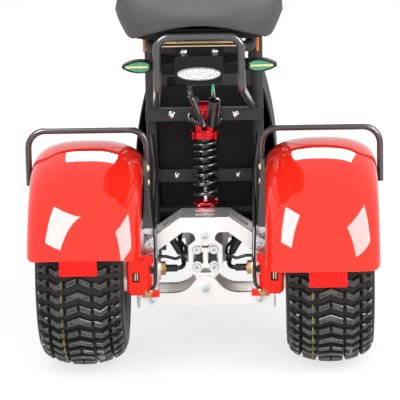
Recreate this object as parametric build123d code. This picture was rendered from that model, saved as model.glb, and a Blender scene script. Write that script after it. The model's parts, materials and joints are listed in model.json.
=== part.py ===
from build123d import *
import os
from math import cos, degrees, radians, sin, sqrt

# Electric tricycle scooter. All sizes in mm: x to the right, y forward, z up.
# The rear axle is the origin while modelling.
# Export puts the ground at z = 0 and the middle of the length at y = 0.

# Wheels
WHEELBASE = 1230
HALF_TRACK = 270
TYRE_R = 210
TYRE_W = 190
FRONT_TYRE_W = 140
CROWN_TURN = 25
SHOULDER_TURN = 85
SHOULDER_R = 38
SIDEWALL_TURN = 125
SIDEWALL_R = 85
LUG_DEEP = 11
LUG_SAG = 0.6
LUG_ROOT = 4
BEAD_R = 89
BEAD_IN = 20
LIP_R = 100
LIP_W = 5
LIP_DEEP = 15
HUB_BORE_X = 40
AXLE_R = 10
FIT = 0.3
DISC_R = 87
DISC_T = 4
DISC_BORE_R = 32
DISC_X = 150
FRONT_DISC_X = 74
VENTS = 12
VENT_R = 5

# Lug kinds: rows on the rear and the front tyre, arc from the crown, corners as (across, along the tread)
LUG_ROWS = {"rear": 42, "front": 34}
CHEVRON = ((28, -16), (28, 0), (0, 12), (-28, 0), (-28, -16), (0, -4))
OUTER_LUG = ((16, -10), (16, 4), (-16, -7), (-16, -21))
SHOULDER_LUG = ((16, -12), (16, 5), (-15, 6), (-15, -12))
OUTER_LUG_ARC = 48
SHOULDER_LUG_ARC = 86
FRONT_SHOULDER_ARC = 56

# Rear tilt linkage
ARM_BACK_Y = -60
ARM_FRONT_Y = 33
PLATE_T = 12
WEB_T = 8
PIN_R = 6
PIN_HEAD_R = 8
WASHER_R = 11.5
CENTRE_TOP_Z = 87
CENTRE_LOW_Z = -33
OUTER_X = 118
OUTER_TOP_Z = 64
OUTER_LOW_Z = -56
END_R = 16
BOSS_R = 22
BOSS_FILLET = 14
ARM_TOP_Z = 128
ARM_FLAT_X = 53
ARM_DEEP = 33
TOP_SLOT = (44, 11, 5)
TOP_SLOT_Y = (-34, 2)
SIDE_SLOT = (30, 30, 8)
SIDE_SLOT_X = 78
HUMP_R = 30
HUMP_FILLET = 55
FOOT_DROP = 12
BLOCK_HALF = 37
BLOCK_NECK = 22
BLOCK_BOLT_X = 19
BLOCK_BOLT_Z = (54, 15)
BLOCK_BOSS_R = 11.5
BLOCK_HEAD_R = 9.5
BLOCK_SHANK_R = 3.8
POCKET = (22, 27, 3)
POCKET_DEEP = 30
FLANGE_IN_X = 134.5
FLANGE_OUT_X = 142
KNUCKLE_IN_X = 105
AXLE_BOSS_R = 26
AXLE_BOSS_X = 100
FOOT_Z = 88
FOOT_T = 12
FOOT_Y = (-38, 14)
FOOT_IN_X = 117
NUT_R = 16
NUT_T = 10

# Calipers
CALIPER_UP = 9
CALIPER_HALF = 41
CALIPER_Y = (-113, -62)
CALIPER_IN = 30
CALIPER_OUT = 20
CALIPER_CHAMFER = 8
CALIPER_MOUTH = 7
BRIDGE_Y = -92.5
WINDOW = (16, 22)
PISTON_R = 15
PISTON_Z = 20
TAB_T = 14

# Swingarm and shock
NECK_Z = (2, 62)
NECK_HALF = 36
YOKE_HALF = 44
YOKE_Y = (45, 78)
SIDE_T = 16
SIDE_IN_X = 30
PIVOT_Y = 200
PIVOT_Z = 40
PIVOT_TUBE_R = 22
PIVOT_TUBE_HALF = 92
SHAFT_R = 10
SHOCK_TOP_Y, SHOCK_TOP_Z = 72, 348
SHOCK_LOW_Y, SHOCK_LOW_Z = 62, 108
EYE_R = 12
EYE_PIN_R = 5
EYE_BORE_R = 5.3
EYE_IN_X = 15
EAR_T = 6
LOW_CUP = (22, 28)
COLLAR_DROP = 70
COLLAR_T = 16
COLLAR_R = 31
COLLAR_NOTCHES = 8
LOBE_R = 20
LOBE_T = 26
DAMPER_R = 17
ROD_R = 7
SPRING_R = 25
WIRE_R = 4.2
COIL_PITCH = 16

# Rear bodywork
FENDER_GAP = 75
FENDER_R = TYRE_R + FENDER_GAP
FENDER_MID_X = 254
FENDER_HALF = 122
FENDER_T = 4
FENDER_DEEP = 62
FENDER_CORNER = 52
FENDER_CROWN = 9
FENDER_SPAN = 98
FENDER_END_R = 20
FENDER_TILT = {"left": 18, "right": 12}
GUARD_R = 7
GUARD_GAP = 28
GUARD_TOP_Z = FENDER_R + GUARD_GAP
GUARD_DROP = 121
GUARD_IN_X = 125
GUARD_OUT_X = 384
GUARD_BEND = 38
REFLECTOR = (80, 6, 42)
REFLECTOR_OUT = 10
STAY_Y = (-34, -12)
STAY_TOP_Z = 248
STAY_WALL_Z = 175

# Frame
RAIL_X = 118
RAIL_W = 30
RAIL_Z = (-5, 37)
RAIL_BACK_Y = 105
RAIL_SHORT = 15
MEMBER_W = 30
MEMBER_BACK_Y = 330
POST_R = 12.5
POST_Y = 120
BAR_Z = (312, 340)
BAR_Y = (92, 112)
BAR_HALF = 131
STRAP_Z = (166, 194)
STRAP_Y = (128, 134)
SHELF_T = 9
LOOP_R = 12
LOOP_X = 107
LOOP_Z = 518
LOOP_BACK_Y = -150
LOOP_FRONT_Y = 300
LOOP_POST_Y = 378
LOOP_POST_Z = 480
LOOP_BEND = 42
TIE_R = 9
TIE_BACK = 4
HOOP_R = 8.5
HOOP_X = 88
HOOP_Y = -222
HOOP_TOP_Z = 554
HOOP_LOW_Z = 445
HOOP_FOOT_X = 106
HOOP_BEND = 26
DECK_HALF = 190
DECK_BACK_Y = 235
DECK_SHORT = 430
DECK_FRONT_Y = WHEELBASE - DECK_SHORT
DECK_Z = (12, 40)
DECK_CORNER = 40
SHEET_T = 3
MAT_T = 4
MAT_HALF = 165
MAT_BACK_GAP = 12
MAT_FRONT_GAP = 28
BATTERY_HALF = 106
BATTERY_Y = (150, 345)
BATTERY_Z = (107, 379)
SOCKET_X = (-84, -42)
SOCKET_IN = (20, 50)
SOCKET_UP = 18
COVER_Y = (152, 440)
COVER_T = 4
COVER_FOOT_X = 148
COVER_MID_X, COVER_MID_Z = 157, 230
COVER_TOP_X, COVER_TOP_Z = 126, 390
COVER_ROUND = 46
SPINE_R = 25
SPINE_BEND = 90

# Tail
PLATE_HALF = 51
PLATE_Y = -200
PLATE_Z = (470, 533)
LAMP_Y = (-243, -203.1)
LAMP_Z = (457, 516)
LAMP_HALF = 50
LAMP_ROUND = 9
LENS = (46, 14)
LENS_Z = 480
LENS_DEEP = 5
LEAF_X = (102, 125, 162)
LEAF_HALF = (9, 13, 2)
LEAF_Y = (-212, -186)
LEAF_Z = 490
STALK_R = 7
STALK_RIB_R = 9.5
STALK_RIBS = 4
STALK_Y = -196
LATCH_HALF = 82
LATCH_Y = (-180, -128)
LATCH_T = 2
LATCH_GAP = 5
MARKER_Y = (-70, -20)
MARKER_Z = (496, 538)

# Seat
SEAT_HALF = 188
SEAT_TAIL_Y = -255
SEAT_NOSE_Y = 342
SEAT_CORNER = 95
SEAT_TIP = 84
SEAT_SQUARE = 130
PAN_Z = (547, 568)
PAN_INSET = 40
PAN_REAR_GAP = 7
SKIRT_Z = 552
SKIRT_INSET = 24
SKIRT_FIT = 1.5
ARCH_X, ARCH_Z = 150, 578
ARCH_Y = -120
SEAT_MID_Z = 632
SEAT_TOP_Z = 678
SEAT_TOP_INSET = 46
BUMPER_R = 10
BUMPER_Y = (-90, 150)
HINGE_Y = 318
HINGE_Z = 538
HINGE_HALF = 38
HINGE_R = 8
HINGE_PIN_R = 4

# Steering
RAKE = 25
FORK_OFFSET = 30
FORK_GAP = 107
FORK_LENGTH = TYRE_R + FORK_GAP
LEG_X = 100
LEG_R = 18
LEG_FOOT = 26
LEG_BREAK = 120
CROWN_W = (-38, -8)
CROWN_ROUND = 24
HEAD_LENGTH = 130
HEAD_R = 30
STEERER_R = 15
RISER = 200
RISER_R = 20
CLAMP = (52, 17, 16)
CLAMP_AHEAD = 12
BAR_TUBE_R = 11
BAR_BEND = 48
BAR_FLAT_X = 74
GRIP_Z = 794
GRIP_IN = (205, 872)
GRIP_OUT = (352, 806)
GRIP_R = 16
GRIP_LENGTH = 125
PERCH_BACK = 141
FRONT_FENDER_GAP = 15
FRONT_FENDER_R = TYRE_R + FRONT_FENDER_GAP
FRONT_FENDER_T = 3
FRONT_FENDER_HALF = 80
FRONT_FENDER_RISE = 16
FRONT_FENDER_DEEP = 22
FRONT_FENDER_START = 25
FRONT_FENDER_SPAN = 125
LAMP_R = 78
LAMP_UP = 105
LAMP_OUT = 44
LAMP_DEEP = 76
LAMP_RIM = 6

# Cables
HOSE_R = 4
HOSE_BEND = 16
MOTOR_LEAD_R = 5
MOTOR_PLUG_R = 8
SENSOR_R = 3.5
TAIL_WRAP_R = 6
TAIL_LEAD_R = 3
TAIL_BOOT_R = 14
LEAD_BEND = 14
SMALL_BEND = 8
SENSOR_BEND = 6

REAR_REACH = FENDER_R * cos(radians(FENDER_TILT["right"])) + 4
MID_Y = (WHEELBASE + TYRE_R - REAR_REACH) / 2
SEAT_IN = FIT / 3

NODES = {}


def slab_x(sketch, x0, x1):
    """Extrude a (y, z) sketch from x0 to x1."""
    return extrude(Plane.YZ.offset(x0) * sketch, x1 - x0)


def slab_y(sketch, y0, y1):
    """Extrude an (x, z) sketch from y0 to y1."""
    return extrude(Plane.XZ.offset(-y1) * sketch, y1 - y0)


def slab_z(sketch, z0, z1):
    """Extrude an (x, y) sketch from z0 to z1."""
    return extrude(Plane.XY.offset(z0) * sketch, z1 - z0)


def block(x0, x1, y0, y1, z0, z1):
    """Box between two corners."""
    return Pos((x0 + x1) / 2, (y0 + y1) / 2, (z0 + z1) / 2) * Box(x1 - x0, y1 - y0, z1 - z0)


def rod(start, end, radius):
    """Straight cylinder between two points."""
    a, b = Vector(*start), Vector(*end)
    return extrude(Plane(origin=a, z_dir=b - a) * Circle(radius), (b - a).length)


def cross_rod(half, y, z, radius):
    """Cylinder along x, centred."""
    return rod((-half, y, z), (half, y, z), radius)


def tube(points, radius, bend):
    """Round bar along straight runs joined by tangent bends."""
    path = FilletPolyline(*points, radius=bend)
    return sweep(Plane(origin=path @ 0, z_dir=path % 0) * Circle(radius), path=path)


def face(points):
    """Closed polygon face."""
    return make_face(Polyline(*points, close=True))


def both(half):
    """Symmetric polygon face from its right-hand corners."""
    return face(list(half) + [(-x, z) for x, z in half[::-1]])


def flip(shape):
    """Copy for the other side."""
    return mirror(shape, about=Plane.YZ)


def pair(shape):
    """The shape and its copy on the other side."""
    return Part() + [shape, flip(shape)]


def turn(points):
    """Solid of revolution about x from (x, radius) points."""
    return revolve(face(points), Axis.X)


class Section:
    """Half envelope of a tyre: crown, shoulder and sidewall arcs, each tangent to the last."""

    def __init__(self, width):
        shoulder = SHOULDER_R * (sin(radians(SHOULDER_TURN)) - sin(radians(CROWN_TURN)))
        bulge = SIDEWALL_R * (1 - sin(radians(SHOULDER_TURN)))
        self.bead = width / 2 - BEAD_IN
        self.crown_r = (width / 2 - shoulder - bulge) / sin(radians(CROWN_TURN))
        self.crown_arc = self.crown_r * radians(CROWN_TURN)

    def point(self, tilt, sunk=0):
        """Point (x, radius) whose outward normal leans by tilt degrees, moved inwards by sunk."""
        x, r, start = 0, TYRE_R, 0
        for radius, end in ((self.crown_r, CROWN_TURN), (SHOULDER_R, SHOULDER_TURN), (SIDEWALL_R, 180)):
            stop = min(tilt, end)
            x += radius * (sin(radians(stop)) - sin(radians(start)))
            r -= radius * (cos(radians(start)) - cos(radians(stop)))
            start = stop
        return x - sunk * sin(radians(tilt)), r - sunk * cos(radians(tilt))

    def tilt(self, arc):
        """Lean of the normal at an arc length from the crown."""
        if arc <= self.crown_arc:
            return degrees(arc / self.crown_r)
        return CROWN_TURN + degrees((arc - self.crown_arc) / SHOULDER_R)


def carcass(section):
    """Bead, bulged sidewall, and a shoulder and crown sunk to the foot of the lugs, turned about x."""
    lip = (section.bead, LIP_R + 2)
    wall = [section.point(t) for t in (SIDEWALL_TURN, 106, 88)]
    crown = [section.point(t, LUG_DEEP) for t in (62, 44, CROWN_TURN, CROWN_TURN / 2, 0)]
    right = [
        Line((0, BEAD_R), (section.bead, BEAD_R)),
        Line((section.bead, BEAD_R), lip),
        Line(lip, wall[0]),
        ThreePointArc(*wall),
        Line(wall[-1], crown[0]),
        ThreePointArc(*crown[:3]),
        ThreePointArc(*crown[2:]),
    ]
    left = [mirror(edge, about=Plane.YZ) for edge in right]
    return revolve(make_face(Curve() + right + left), Axis.X)


def lug(section, arc, corners):
    """Flat-topped lug whose top touches the envelope at an arc length from the crown."""
    tilt = section.tilt(arc)
    x, r = section.point(tilt, LUG_SAG)
    out = (sin(radians(tilt)), cos(radians(tilt)), 0)
    top = Plane(origin=(x, r, 0), x_dir=(out[1], -out[0], 0), z_dir=out)
    return extrude(top * face(corners), -(LUG_DEEP + LUG_ROOT))


def tyre(width, rows, side_lugs):
    """Carcass with its lugs: a chevron on the crown and the given (arc, corners) lugs on both sides."""
    section = Section(width)
    row = [lug(section, 0, CHEVRON)]
    for arc, corners in side_lugs:
        one = lug(section, arc, corners)
        row += [one, flip(one)]
    lugs = [Rot(360 * i / rows, 0, 0) * one for i in range(rows) for one in row]
    return carcass(section) + lugs


def rim_points(side, bead):
    """Rim edge on one side, from the barrel to the dish, as (x, radius)."""
    lip_in = bead + FIT
    lip_out = lip_in + LIP_W
    half = [(lip_in, BEAD_R - FIT), (lip_in, LIP_R), (lip_out, LIP_R), (lip_out, LIP_R - LIP_DEEP)]
    return [(side * x, r) for x, r in half]


def motor_hub():
    """Rear rim with its hub motor: disc carrier on the inner side, closed dome on the outer side."""
    bead = TYRE_W / 2 - BEAD_IN
    carrier = HALF_TRACK - DISC_X - DISC_T / 2
    bore = AXLE_R + FIT
    spigot = DISC_BORE_R - FIT
    points = [(-carrier - DISC_T, bore), (-carrier - DISC_T, spigot), (-carrier, spigot)]
    points += [(-carrier, 46), (-bead - 13, 50), (3 - bead, 58), (5 - bead, 81)]
    points += rim_points(-1, bead)[::-1] + rim_points(1, bead)
    points += [(bead - 11, 81), (bead - 9, 62), (bead + 3, 54), (bead + 5, 26)]
    points += [(bead + 11, 22), (bead + 11, 0)]
    return turn(points + [(HUB_BORE_X, 0), (HUB_BORE_X, bore)])


def front_hub():
    """Front rim on a plain hub, disc seat on the left."""
    bead = FRONT_TYRE_W / 2 - BEAD_IN
    bore = AXLE_R + FIT
    end = LEG_X - LEG_R - 2
    seat = FRONT_DISC_X - DISC_T / 2
    spigot = DISC_BORE_R - FIT
    points = [(-end, bore), (-end, 22), (-seat - DISC_T, 22), (-seat - DISC_T, spigot), (-seat, spigot)]
    points += [(-seat, 44), (-40, 46), (-24, 52), (-20, 78), (5 - bead, 82)]
    points += rim_points(-1, bead)[::-1] + rim_points(1, bead)
    points += [(bead - 5, 82), (20, 78), (24, 40), (44, 30), (end, 22), (end, bore)]
    return turn(points)


def disc():
    """Vented brake disc in the plane x = 0."""
    ring = Circle(DISC_R) - Circle(DISC_BORE_R)
    vents = PolarLocations((DISC_R + DISC_BORE_R) / 2 + 6, VENTS) * Circle(VENT_R)
    return slab_x(ring - vents, -DISC_T / 2, DISC_T / 2)


def wheels():
    """Two driven rear wheels and the steered front wheel."""
    hub = motor_hub()
    side_lugs = ((OUTER_LUG_ARC, OUTER_LUG), (SHOULDER_LUG_ARC, SHOULDER_LUG))
    rear = tyre(TYRE_W, LUG_ROWS["rear"], side_lugs)
    for name, side in (("left", -1), ("right", 1)):
        place = Pos(side * HALF_TRACK, 0, 0)
        NODES[f"rear_tyre_{name}"] = place * rear
        NODES[f"rear_hub_{name}"] = place * (hub if side > 0 else flip(hub))
        NODES[f"rear_disc_{name}"] = Pos(side * DISC_X, 0, 0) * disc()
    front = Pos(0, WHEELBASE, 0)
    side_lugs = ((FRONT_SHOULDER_ARC, SHOULDER_LUG),)
    NODES["front_tyre"] = front * tyre(FRONT_TYRE_W, LUG_ROWS["front"], side_lugs)
    NODES["front_hub"] = front * front_hub()
    NODES["front_disc"] = front * Pos(-FRONT_DISC_X, 0, 0) * disc()


def near(sketch, x, z):
    """The sketch's corners at (x, z) and (-x, z)."""
    return [v for v in sketch.vertices() if abs(abs(v.X) - x) < 0.5 and abs(v.Y - z) < 0.5]


def upper_outline():
    """Upper arm seen from behind: flat top, sloped shoulders, round ends, a boss blended in below."""
    low = ARM_TOP_Z - ARM_DEEP
    half = [(ARM_FLAT_X, ARM_TOP_Z), (OUTER_X + 9, OUTER_TOP_Z + 13), (OUTER_X - 8, OUTER_TOP_Z - 13.5)]
    half += [(ARM_FLAT_X - 3, low), (1, low)]
    outline = both(half)
    outline += [Pos(s * OUTER_X, OUTER_TOP_Z) * Circle(END_R) for s in (-1, 1)]
    outline += Pos(0, CENTRE_TOP_Z) * Circle(BOSS_R)
    foot = sqrt(BOSS_R**2 - (low - CENTRE_TOP_Z) ** 2)
    return fillet(near(outline, foot, low), BOSS_FILLET)


def lower_outline():
    """Lower arm seen from behind: straight foot, round ends and a bell-shaped centre."""
    foot, shoulder = OUTER_LOW_Z - FOOT_DROP, OUTER_LOW_Z + END_R - 1
    outline = both([(OUTER_X, foot), (OUTER_X, shoulder)])
    outline += [Pos(s * OUTER_X, OUTER_LOW_Z) * Circle(END_R - 2) for s in (-1, 1)]
    outline += Pos(0, CENTRE_LOW_Z) * Circle(HUMP_R)
    side = sqrt(HUMP_R**2 - (shoulder - CENTRE_LOW_Z) ** 2)
    return fillet(near(outline, side, shoulder), HUMP_FILLET)


def channel(outline, hollow, pivots):
    """Two plates joined by a web: the outline run through the arm's depth, less the hollow and pin bores."""
    body = slab_y(outline, ARM_BACK_Y, ARM_FRONT_Y)
    body -= slab_y(hollow, ARM_BACK_Y + PLATE_T, ARM_FRONT_Y - PLATE_T)
    bores = Sketch() + [Pos(x, z) * Circle(PIN_R + FIT) for x, z in pivots]
    return body - slab_y(bores, ARM_BACK_Y - 1, ARM_FRONT_Y + 1)


def arms(top_pivots, low_pivots):
    """Slotted upper bridge and bell-shaped lower arm, both open channels."""
    web = OUTER_X - 14
    past = OUTER_X + 40
    hollow = both([
        (ARM_FLAT_X - 3, ARM_TOP_Z - WEB_T),
        (web, OUTER_TOP_Z + 22),
        (web, OUTER_TOP_Z + 18),
        (past, OUTER_TOP_Z + 18),
        (past, OUTER_LOW_Z),
    ])
    upper = channel(upper_outline(), hollow, top_pivots)
    for y in TOP_SLOT_Y:
        upper -= slab_z(Pos(0, y) * RectangleRounded(*TOP_SLOT), ARM_TOP_Z - WEB_T - 1, ARM_TOP_Z + 1)
    mid_y = (ARM_BACK_Y + ARM_FRONT_Y) / 2
    for side in (-1, 1):
        slot = Pos(side * SIDE_SLOT_X, mid_y) * RectangleRounded(*SIDE_SLOT)
        upper -= slab_z(slot, OUTER_TOP_Z, ARM_TOP_Z)
    NODES["upper_arm"] = upper
    floor, end = OUTER_LOW_Z - 2, OUTER_LOW_Z - FOOT_DROP - 6
    trough = both([(OUTER_X - 22, floor), (OUTER_X - 22, end), (past, end), (past, ARM_TOP_Z)])
    NODES["lower_arm"] = channel(lower_outline(), trough, low_pivots)


def tilt_block(y0, y1, bolts):
    """Dog-bone block between the plates: pivot ears, bolt bosses and pockets round a cross web."""
    top, low = BLOCK_BOLT_Z[0] + 8, BLOCK_BOLT_Z[1] - 8
    half = [(19, CENTRE_TOP_Z), (BLOCK_NECK, top + 12), (BLOCK_HALF, top), (BLOCK_HALF, low)]
    half += [(BLOCK_NECK, low - 14), (19, CENTRE_LOW_Z)]
    outline = both(half) + [Pos(0, z) * Circle(19) for z in (CENTRE_TOP_Z, CENTRE_LOW_Z)]
    body = slab_y(outline, y0, y1)
    bores = [Pos(0, z) * Circle(PIN_R + FIT) for z in (CENTRE_TOP_Z, CENTRE_LOW_Z)]
    body -= slab_y(Sketch() + bores, y0 - 1, y1 + 1)
    mid_z = sum(BLOCK_BOLT_Z) / 2
    pocket = Sketch() + [Pos(s * 16, mid_z) * RectangleRounded(*POCKET) for s in (-1, 1)]
    reach = (BLOCK_BOLT_Z[0] - BLOCK_BOLT_Z[1]) / 2
    for s in (-1, 1):
        z = mid_z + s * reach
        pocket += face([(-6, z + s * 3), (6, z + s * 3), (13, z + s * 14), (-13, z + s * 14)])
    pocket -= [Pos(x, z) * Circle(BLOCK_BOSS_R) for x, z in bolts]
    pocket -= [Pos(0, z) * Circle(PIN_R + 5) for z in (CENTRE_TOP_Z, CENTRE_LOW_Z)]
    body -= slab_y(pocket, y0 - 1, y0 + POCKET_DEEP)
    holes = [Pos(x, z) * Circle(BLOCK_SHANK_R + FIT / 2) for x, z in bolts]
    NODES["tilt_block"] = body - slab_y(Sketch() + holes, y0 - 1, y1 + 1)


def linkage():
    """Upper and lower arms, centre block and their bolts."""
    top_pivots = [(0, CENTRE_TOP_Z), (-OUTER_X, OUTER_TOP_Z), (OUTER_X, OUTER_TOP_Z)]
    low_pivots = [(0, CENTRE_LOW_Z), (-OUTER_X, OUTER_LOW_Z), (OUTER_X, OUTER_LOW_Z)]
    arms(top_pivots, low_pivots)
    y0, y1 = ARM_BACK_Y + PLATE_T + FIT, ARM_FRONT_Y - PLATE_T - FIT
    bolts = [(s * BLOCK_BOLT_X, z) for s in (-1, 1) for z in BLOCK_BOLT_Z]
    tilt_block(y0, y1, bolts)
    pins = []
    for x, z in top_pivots + low_pivots:
        pin = rod((x, ARM_BACK_Y - 2, z), (x, ARM_FRONT_Y + 2, z), PIN_R)
        pin += rod((x, ARM_BACK_Y - 4, z), (x, ARM_BACK_Y - SEAT_IN, z), WASHER_R)
        pin += rod((x, ARM_BACK_Y - 11, z), (x, ARM_BACK_Y - 4, z), PIN_HEAD_R)
        pins.append(pin + rod((x, ARM_FRONT_Y + SEAT_IN, z), (x, ARM_FRONT_Y + 9, z), PIN_HEAD_R + 2))
    NODES["pivot_bolts"] = Part() + pins
    heads = []
    for x, z in bolts:
        head = rod((x, y0 - 8, z), (x, y0 - SEAT_IN, z), BLOCK_HEAD_R)
        heads.append(head + rod((x, y0 - SEAT_IN, z), (x, y1, z), BLOCK_SHANK_R))
    NODES["block_bolts"] = Part() + heads


def uprights():
    """Knuckles with axle boss, brake-side flange and a foot that carries the stay and the guard bar."""
    y0, y1 = ARM_BACK_Y + PLATE_T + FIT, ARM_FRONT_Y - PLATE_T - FIT
    right = OUTER_X + 13
    web = face([
        (KNUCKLE_IN_X, OUTER_LOW_Z),
        (right, OUTER_LOW_Z),
        (right, OUTER_TOP_Z),
        (KNUCKLE_IN_X, OUTER_TOP_Z),
    ])
    web += [Pos(OUTER_X, z) * Circle(13) for z in (OUTER_TOP_Z, OUTER_LOW_Z)]
    core = slab_y(web, y0, y1)
    core += block(KNUCKLE_IN_X + 5, FLANGE_OUT_X, y0, y1, -24, 32)
    core += block(FLANGE_IN_X, FLANGE_OUT_X, y0, y1, OUTER_LOW_Z - 4, FOOT_Z + FOOT_T)
    core += block(FOOT_IN_X, FLANGE_OUT_X, *FOOT_Y, FOOT_Z, FOOT_Z + FOOT_T)
    core += rod((AXLE_BOSS_X, 0, 0), (FLANGE_OUT_X, 0, 0), AXLE_BOSS_R)
    core -= rod((AXLE_BOSS_X - NUT_T, 0, 0), (FLANGE_OUT_X + 8, 0, 0), AXLE_R + FIT)
    for z in (OUTER_TOP_Z, OUTER_LOW_Z):
        core -= rod((OUTER_X, y0 - 1, z), (OUTER_X, y1 + 1, z), PIN_R + FIT)
    NODES["knuckles"] = pair(core)
    nut_x = AXLE_BOSS_X - SEAT_IN - NUT_T
    axle = rod((nut_x - 2, 0, 0), (HALF_TRACK + HUB_BORE_X - 2, 0, 0), AXLE_R)
    axle += extrude(Plane.YZ.offset(nut_x) * RegularPolygon(NUT_R, 6), NUT_T)
    NODES["rear_axles"] = pair(axle)


def caliper(wide):
    """Caliper round the disc plane x = 0, centred on the axle at the origin, mouth towards +y.

    The inboard side, with the pistons and the mounting tabs, faces -x.
    """
    h, c = CALIPER_HALF, CALIPER_CHAMFER
    outline = [(-CALIPER_IN, c - h + 6), (c - CALIPER_IN, -h), (wide - c, -h), (wide, c - h)]
    outline += [(wide, h - c), (wide - c, h), (c - CALIPER_IN, h), (-CALIPER_IN, h - c - 6)]
    body = slab_y(face(outline), *CALIPER_Y)
    body = chamfer(body.edges().group_by(Axis.Y)[0], 4)
    body += block(-CALIPER_IN / 2 - SEAT_IN, -CALIPER_MOUTH - 1, CALIPER_Y[1], CALIPER_Y[1] + 14, -30, 30)
    body -= block(-CALIPER_MOUTH, CALIPER_MOUTH, BRIDGE_Y, 0, -h - 9, h + 9)
    half_x, half_z = WINDOW[0] / 2, WINDOW[1] / 2
    body -= block(-half_x, half_x, CALIPER_Y[0] - 9, BRIDGE_Y + 0.5, -half_z, half_z)
    for z in (PISTON_Z, -PISTON_Z):
        body += rod((-CALIPER_IN - 3, -76, z), (3 - CALIPER_IN, -76, z), PISTON_R)
    return body


def brakes():
    """Two rear calipers, each with an upper and a lower mounting tab."""
    y0, y1 = CALIPER_Y[0] + 6, CALIPER_Y[0] + 6 + TAB_T
    tabs = block(-CALIPER_IN - 8, -12, y0, y1, 30, 46) + block(-CALIPER_IN - 20, -12, y0, y1, -46, -33)
    one = caliper(CALIPER_OUT) + tabs
    NODES["rear_calipers"] = pair(Pos(DISC_X, 0, CALIPER_UP) * one)


def fender_ring(half, top, corner):
    """Solid cross-section as (x, radius): slightly crowned top, round shoulders, straight walls."""
    side, foot = top - FENDER_CROWN, FENDER_R - FENDER_DEEP
    bow = corner * (1 - cos(radians(45)))
    right = [
        ThreePointArc((half - corner, side), (half - bow, side - bow), (half, side - corner)),
        Line((half, side - corner), (half, foot)),
    ]
    left = [mirror(edge, about=Plane.YZ) for edge in right]
    crown = ThreePointArc((corner - half, side), (0, top), (half - corner, side))
    return make_face(Curve() + right + left + [crown, Line((half, foot), (-half, foot))])


def fender(span):
    """Shell turned about x, with its four end corners rounded."""
    outer = fender_ring(FENDER_HALF, FENDER_R, FENDER_CORNER)
    inner = fender_ring(FENDER_HALF - FENDER_T, FENDER_R - FENDER_T, FENDER_CORNER - FENDER_T)
    shell = revolve(outer - inner, Axis.X, span)
    r = FENDER_END_R
    corner = Pos(FENDER_HALF - r / 2 + 1, r / 2 - 1) * Rectangle(r + 2, r + 2)
    corner -= Pos(FENDER_HALF - r, r) * Circle(r)
    cut = extrude(Plane.XZ.offset(-FENDER_R - 9) * corner, FENDER_DEEP + 40)
    front = pair(cut)
    back = Rot(span, 0, 0) * mirror(front, about=Plane.XY)
    return shell - front - back


def fenders():
    """Fenders with reflectors under their rear edges, guard bars over them and stays to the knuckles."""
    hung = []
    shell = fender(FENDER_SPAN)
    flat = FENDER_HALF - FENDER_CORNER
    bow = (flat**2 + FENDER_CROWN**2) / (2 * FENDER_CROWN)
    sag = bow - sqrt(bow**2 - (REFLECTOR[0] / 2 + REFLECTOR_OUT) ** 2)
    for name, side in (("left", -1), ("right", 1)):
        tilt = FENDER_TILT[name]
        over_wheel = Pos(side * FENDER_MID_X, 0, 0) * Rot(180 - tilt - FENDER_SPAN, 0, 0)
        NODES[f"rear_fender_{name}"] = over_wheel * shell
        rise = FENDER_R * sin(radians(tilt)) + 6
        y = FIT - sqrt((FENDER_R - FENDER_T - sag) ** 2 - rise**2)
        place = Pos(side * (FENDER_MID_X + REFLECTOR_OUT), y + REFLECTOR[1] / 2, rise - REFLECTOR[2] / 2)
        hung.append(place * Box(*REFLECTOR))
    NODES["rear_reflectors"] = Part() + hung
    foot = FOOT_Z + FOOT_T + SEAT_IN
    guard = [(GUARD_IN_X, 0, foot), (GUARD_IN_X, 0, GUARD_TOP_Z), (GUARD_OUT_X, 0, GUARD_TOP_Z)]
    guard.append((GUARD_OUT_X, 0, GUARD_TOP_Z - GUARD_DROP))
    NODES["guard_bars"] = pair(tube(guard, GUARD_R, GUARD_BEND))
    wall = FENDER_MID_X - FENDER_HALF - SEAT_IN
    stay = face([
        (GUARD_IN_X - 11, foot),
        (GUARD_IN_X + 13, foot),
        (GUARD_IN_X + 9, foot + 35),
        (wall, STAY_WALL_Z),
        (wall, STAY_TOP_Z),
        (GUARD_IN_X, STAY_TOP_Z),
        (GUARD_IN_X - 5, STAY_WALL_Z),
    ])
    NODES["fender_stays"] = pair(slab_y(stay, *STAY_Y))


def swingarm():
    """Arm from the linkage's front plates to the pivot shaft, with ears for the shock."""
    z0, z1 = NECK_Z
    body = block(-NECK_HALF, NECK_HALF, ARM_FRONT_Y - PLATE_T, YOKE_Y[0], z0, z1)
    body += block(-YOKE_HALF, YOKE_HALF, *YOKE_Y, z0, z1)
    near_y, tip_y = YOKE_Y[1] + 2, PIVOT_Y + 12
    side = face([
        (YOKE_Y[0], z0),
        (YOKE_Y[0], z1 + 14),
        (near_y, z1 + 14),
        (tip_y, PIVOT_Z + 20),
        (tip_y, PIVOT_Z - 20),
        (near_y, z0),
    ])
    body += pair(slab_x(side, SIDE_IN_X, SIDE_IN_X + SIDE_T))
    body += cross_rod(PIVOT_TUBE_HALF, PIVOT_Y, PIVOT_Z, PIVOT_TUBE_R)
    y, z = SHOCK_LOW_Y, SHOCK_LOW_Z
    ear = face([
        (y - 16, z1 + 8),
        (y + 18, z1 + 8),
        (y + 14, z + 8),
        (y + 6, z + 15),
        (y - 6, z + 15),
        (y - 14, z + 8),
    ])
    body += pair(slab_x(ear, EYE_IN_X, EYE_IN_X + EAR_T))
    body += block(-SIDE_IN_X, SIDE_IN_X, YOKE_Y[0] + 1, near_y, z1, z1 + 14)
    body -= cross_rod(PIVOT_TUBE_HALF + 8, PIVOT_Y, PIVOT_Z, SHAFT_R + FIT)
    NODES["swingarm"] = body - cross_rod(SIDE_IN_X, y, z, EYE_BORE_R)
    NODES["swingarm_shaft"] = cross_rod(RAIL_X - RAIL_W / 2 - FIT, PIVOT_Y, PIVOT_Z, SHAFT_R)


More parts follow.
